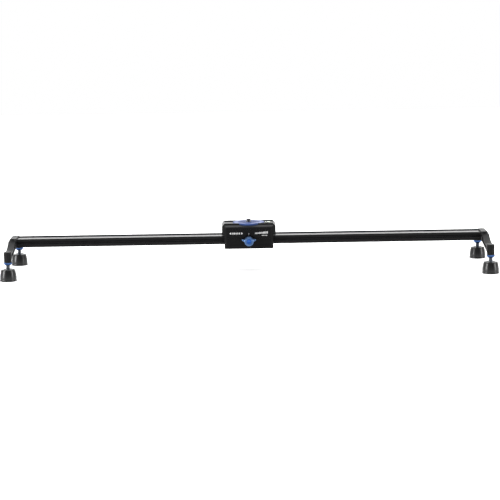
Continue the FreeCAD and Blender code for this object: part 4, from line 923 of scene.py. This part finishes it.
flange_top = disc_low - FLANGE_GAP
flange_low = flange_top - HEAD_FLANGE_THICK
stud = head_stud_skin(low.z, high.z, flange_low, flange_top, rim_height)
piece_from("threaded_stud", [stud], head_stud_finish, "carriage", ["head_stud"])

# ---- Stage ---------------------------------------------------------------------------------------
# A plain white floor, which glows faintly, under soft studio light: a broad box overhead, one low
# behind that runs a bright line along the rail's top, and an upright strip at each side that draws
# the highlights down the feet.
FLOOR_HALF = 4.0
FLOOR_GLOW = 0.12
FLOOR_WHITE = (0.93, 0.93, 0.93)
FLOOR_SHADE = (0.92, 0.92, 0.92)
FLOOR_LINES = 9
ROOM_FRONT = (-0.6, 0.05)       # the direction's Y, and the room's brightness there
ROOM_BACK = (0.7, 1.1)


def soft_box(name, place, target, size, power):
    """A rectangular lamp at a place, turned to face a target. The camera doesn't see it."""
    light = bpy.data.lights.new(name, "AREA")
    light.shape = "RECTANGLE"
    light.size, light.size_y = size
    light.energy = power
    lamp = bpy.data.objects.new(name, light)
    lamp.location = place
    lamp.rotation_euler = (Vector(target) - Vector(place)).to_track_quat("-Z", "Y").to_euler()
    lamp.visible_camera = False
    bpy.context.scene.collection.objects.link(lamp)


grid = np.linspace(-FLOOR_HALF, FLOOR_HALF, FLOOR_LINES)
floor_flat = np.meshgrid(grid, grid)
floor_points = np.stack([*floor_flat, np.zeros_like(floor_flat[0])], axis=-1).reshape(-1, 3)
square = np.arange(FLOOR_LINES - 1)
corner = (square[:, None] * FLOOR_LINES + square).ravel()
opposite = corner + FLOOR_LINES
floor_faces = np.stack([corner, corner + 1, opposite + 1, opposite], axis=-1)
floor_mesh = bpy.data.meshes.new("floor")
floor_mesh.from_pydata(floor_points.tolist(), [], floor_faces.tolist())
floor_finish = new_finish("floor_white", FLOOR_WHITE, FLOOR_SHADE, 0.9, 0.0, 0.1)
floor_shader = floor_finish.node_tree.nodes["Principled BSDF"]
floor_shader.inputs["Emission Color"].default_value = (1, 1, 1, 1)
floor_shader.inputs["Emission Strength"].default_value = FLOOR_GLOW
floor_mesh.materials.append(floor_finish)
floor = bpy.data.objects.new("floor", floor_mesh)
bpy.context.scene.collection.objects.link(floor)

soft_box("overhead_box", (0, 0.4, 2.6), (0, 0, 0), (6.0, 5.0), 230)
soft_box("rear_box", (0, 4.2, 1.0), (0, 0, 0.1), (7.0, 1.6), 110)
soft_box("left_strip", (-3.2, -1.5, 0.8), (0, 0, 0.05), (0.6, 1.6), 130)
soft_box("right_strip", (3.3, -1.5, 0.8), (0, 0, 0.05), (0.6, 1.6), 75)

# The room is bright behind the slider and dark in front of it, so the front stays black; where the
# background itself is in view it is plain white.
world = bpy.data.worlds.new("studio")
bpy.context.scene.world = world
world.use_nodes = True
sky = world.node_tree.nodes
sky_links = world.node_tree.links
toward = sky.new("ShaderNodeTexCoord")
split = sky.new("ShaderNodeSeparateXYZ")
sky_links.new(toward.outputs["Generated"], split.inputs[0])
fade = sky.new("ShaderNodeMapRange")
for name, (toward_y, brightness) in (("Min", ROOM_FRONT), ("Max", ROOM_BACK)):
    fade.inputs["From " + name].default_value = toward_y
    fade.inputs["To " + name].default_value = brightness
sky_links.new(split.outputs["Y"], fade.inputs["Value"])
seen = sky.new("ShaderNodeLightPath")
choose = sky.new("ShaderNodeMix")
choose.inputs["B"].default_value = 1.0
sky_links.new(seen.outputs["Is Camera Ray"], choose.inputs["Factor"])
sky_links.new(fade.outputs[0], choose.inputs["A"])
sky_links.new(choose.outputs[0], sky["Background"].inputs["Strength"])
sky["Background"].inputs["Color"].default_value = (1, 1, 1, 1)
bpy.context.scene.view_settings.view_transform = "Standard"

# ---- Camera --------------------------------------------------------------------------------------
# A long lens looks almost square on at the slider's front, from a little above it. The whole rail
# is in view, and the slight roll and shift are the framing's.
AIM = Vector((0, 0, 60 * MM))
DISTANCE = 3.703
ELEVATION = math.radians(8.04)
YAW = math.radians(-0.38)
ROLL = math.radians(-0.87)
LENS = 138.67                   # millimetres, on a sensor 36 mm wide
SENSOR_WIDTH = 36
SHIFT_RIGHT = 0.0024
SHIFT_UP = -0.0238
NEAREST = 0.05
FARTHEST = 60
flat_reach = math.cos(ELEVATION)
back = Vector((math.sin(YAW) * flat_reach, -math.cos(YAW) * flat_reach, math.sin(ELEVATION)))
level_right = (-back).cross(Vector((0, 0, 1))).normalized()
level_up = level_right.cross(-back)
right = level_right * math.cos(ROLL) + level_up * math.sin(ROLL)
up = level_up * math.cos(ROLL) - level_right * math.sin(ROLL)
camera = bpy.data.objects.new("camera", bpy.data.cameras.new("camera"))
bpy.context.scene.collection.objects.link(camera)
place = Matrix((right, up, back)).transposed().to_4x4()
place.translation = AIM + back * DISTANCE
camera.matrix_world = place
camera.data.lens = LENS
camera.data.sensor_width = SENSOR_WIDTH
camera.data.shift_x = SHIFT_RIGHT
camera.data.shift_y = SHIFT_UP
camera.data.clip_start = NEAREST
camera.data.clip_end = FARTHEST
bpy.context.scene.camera = camera
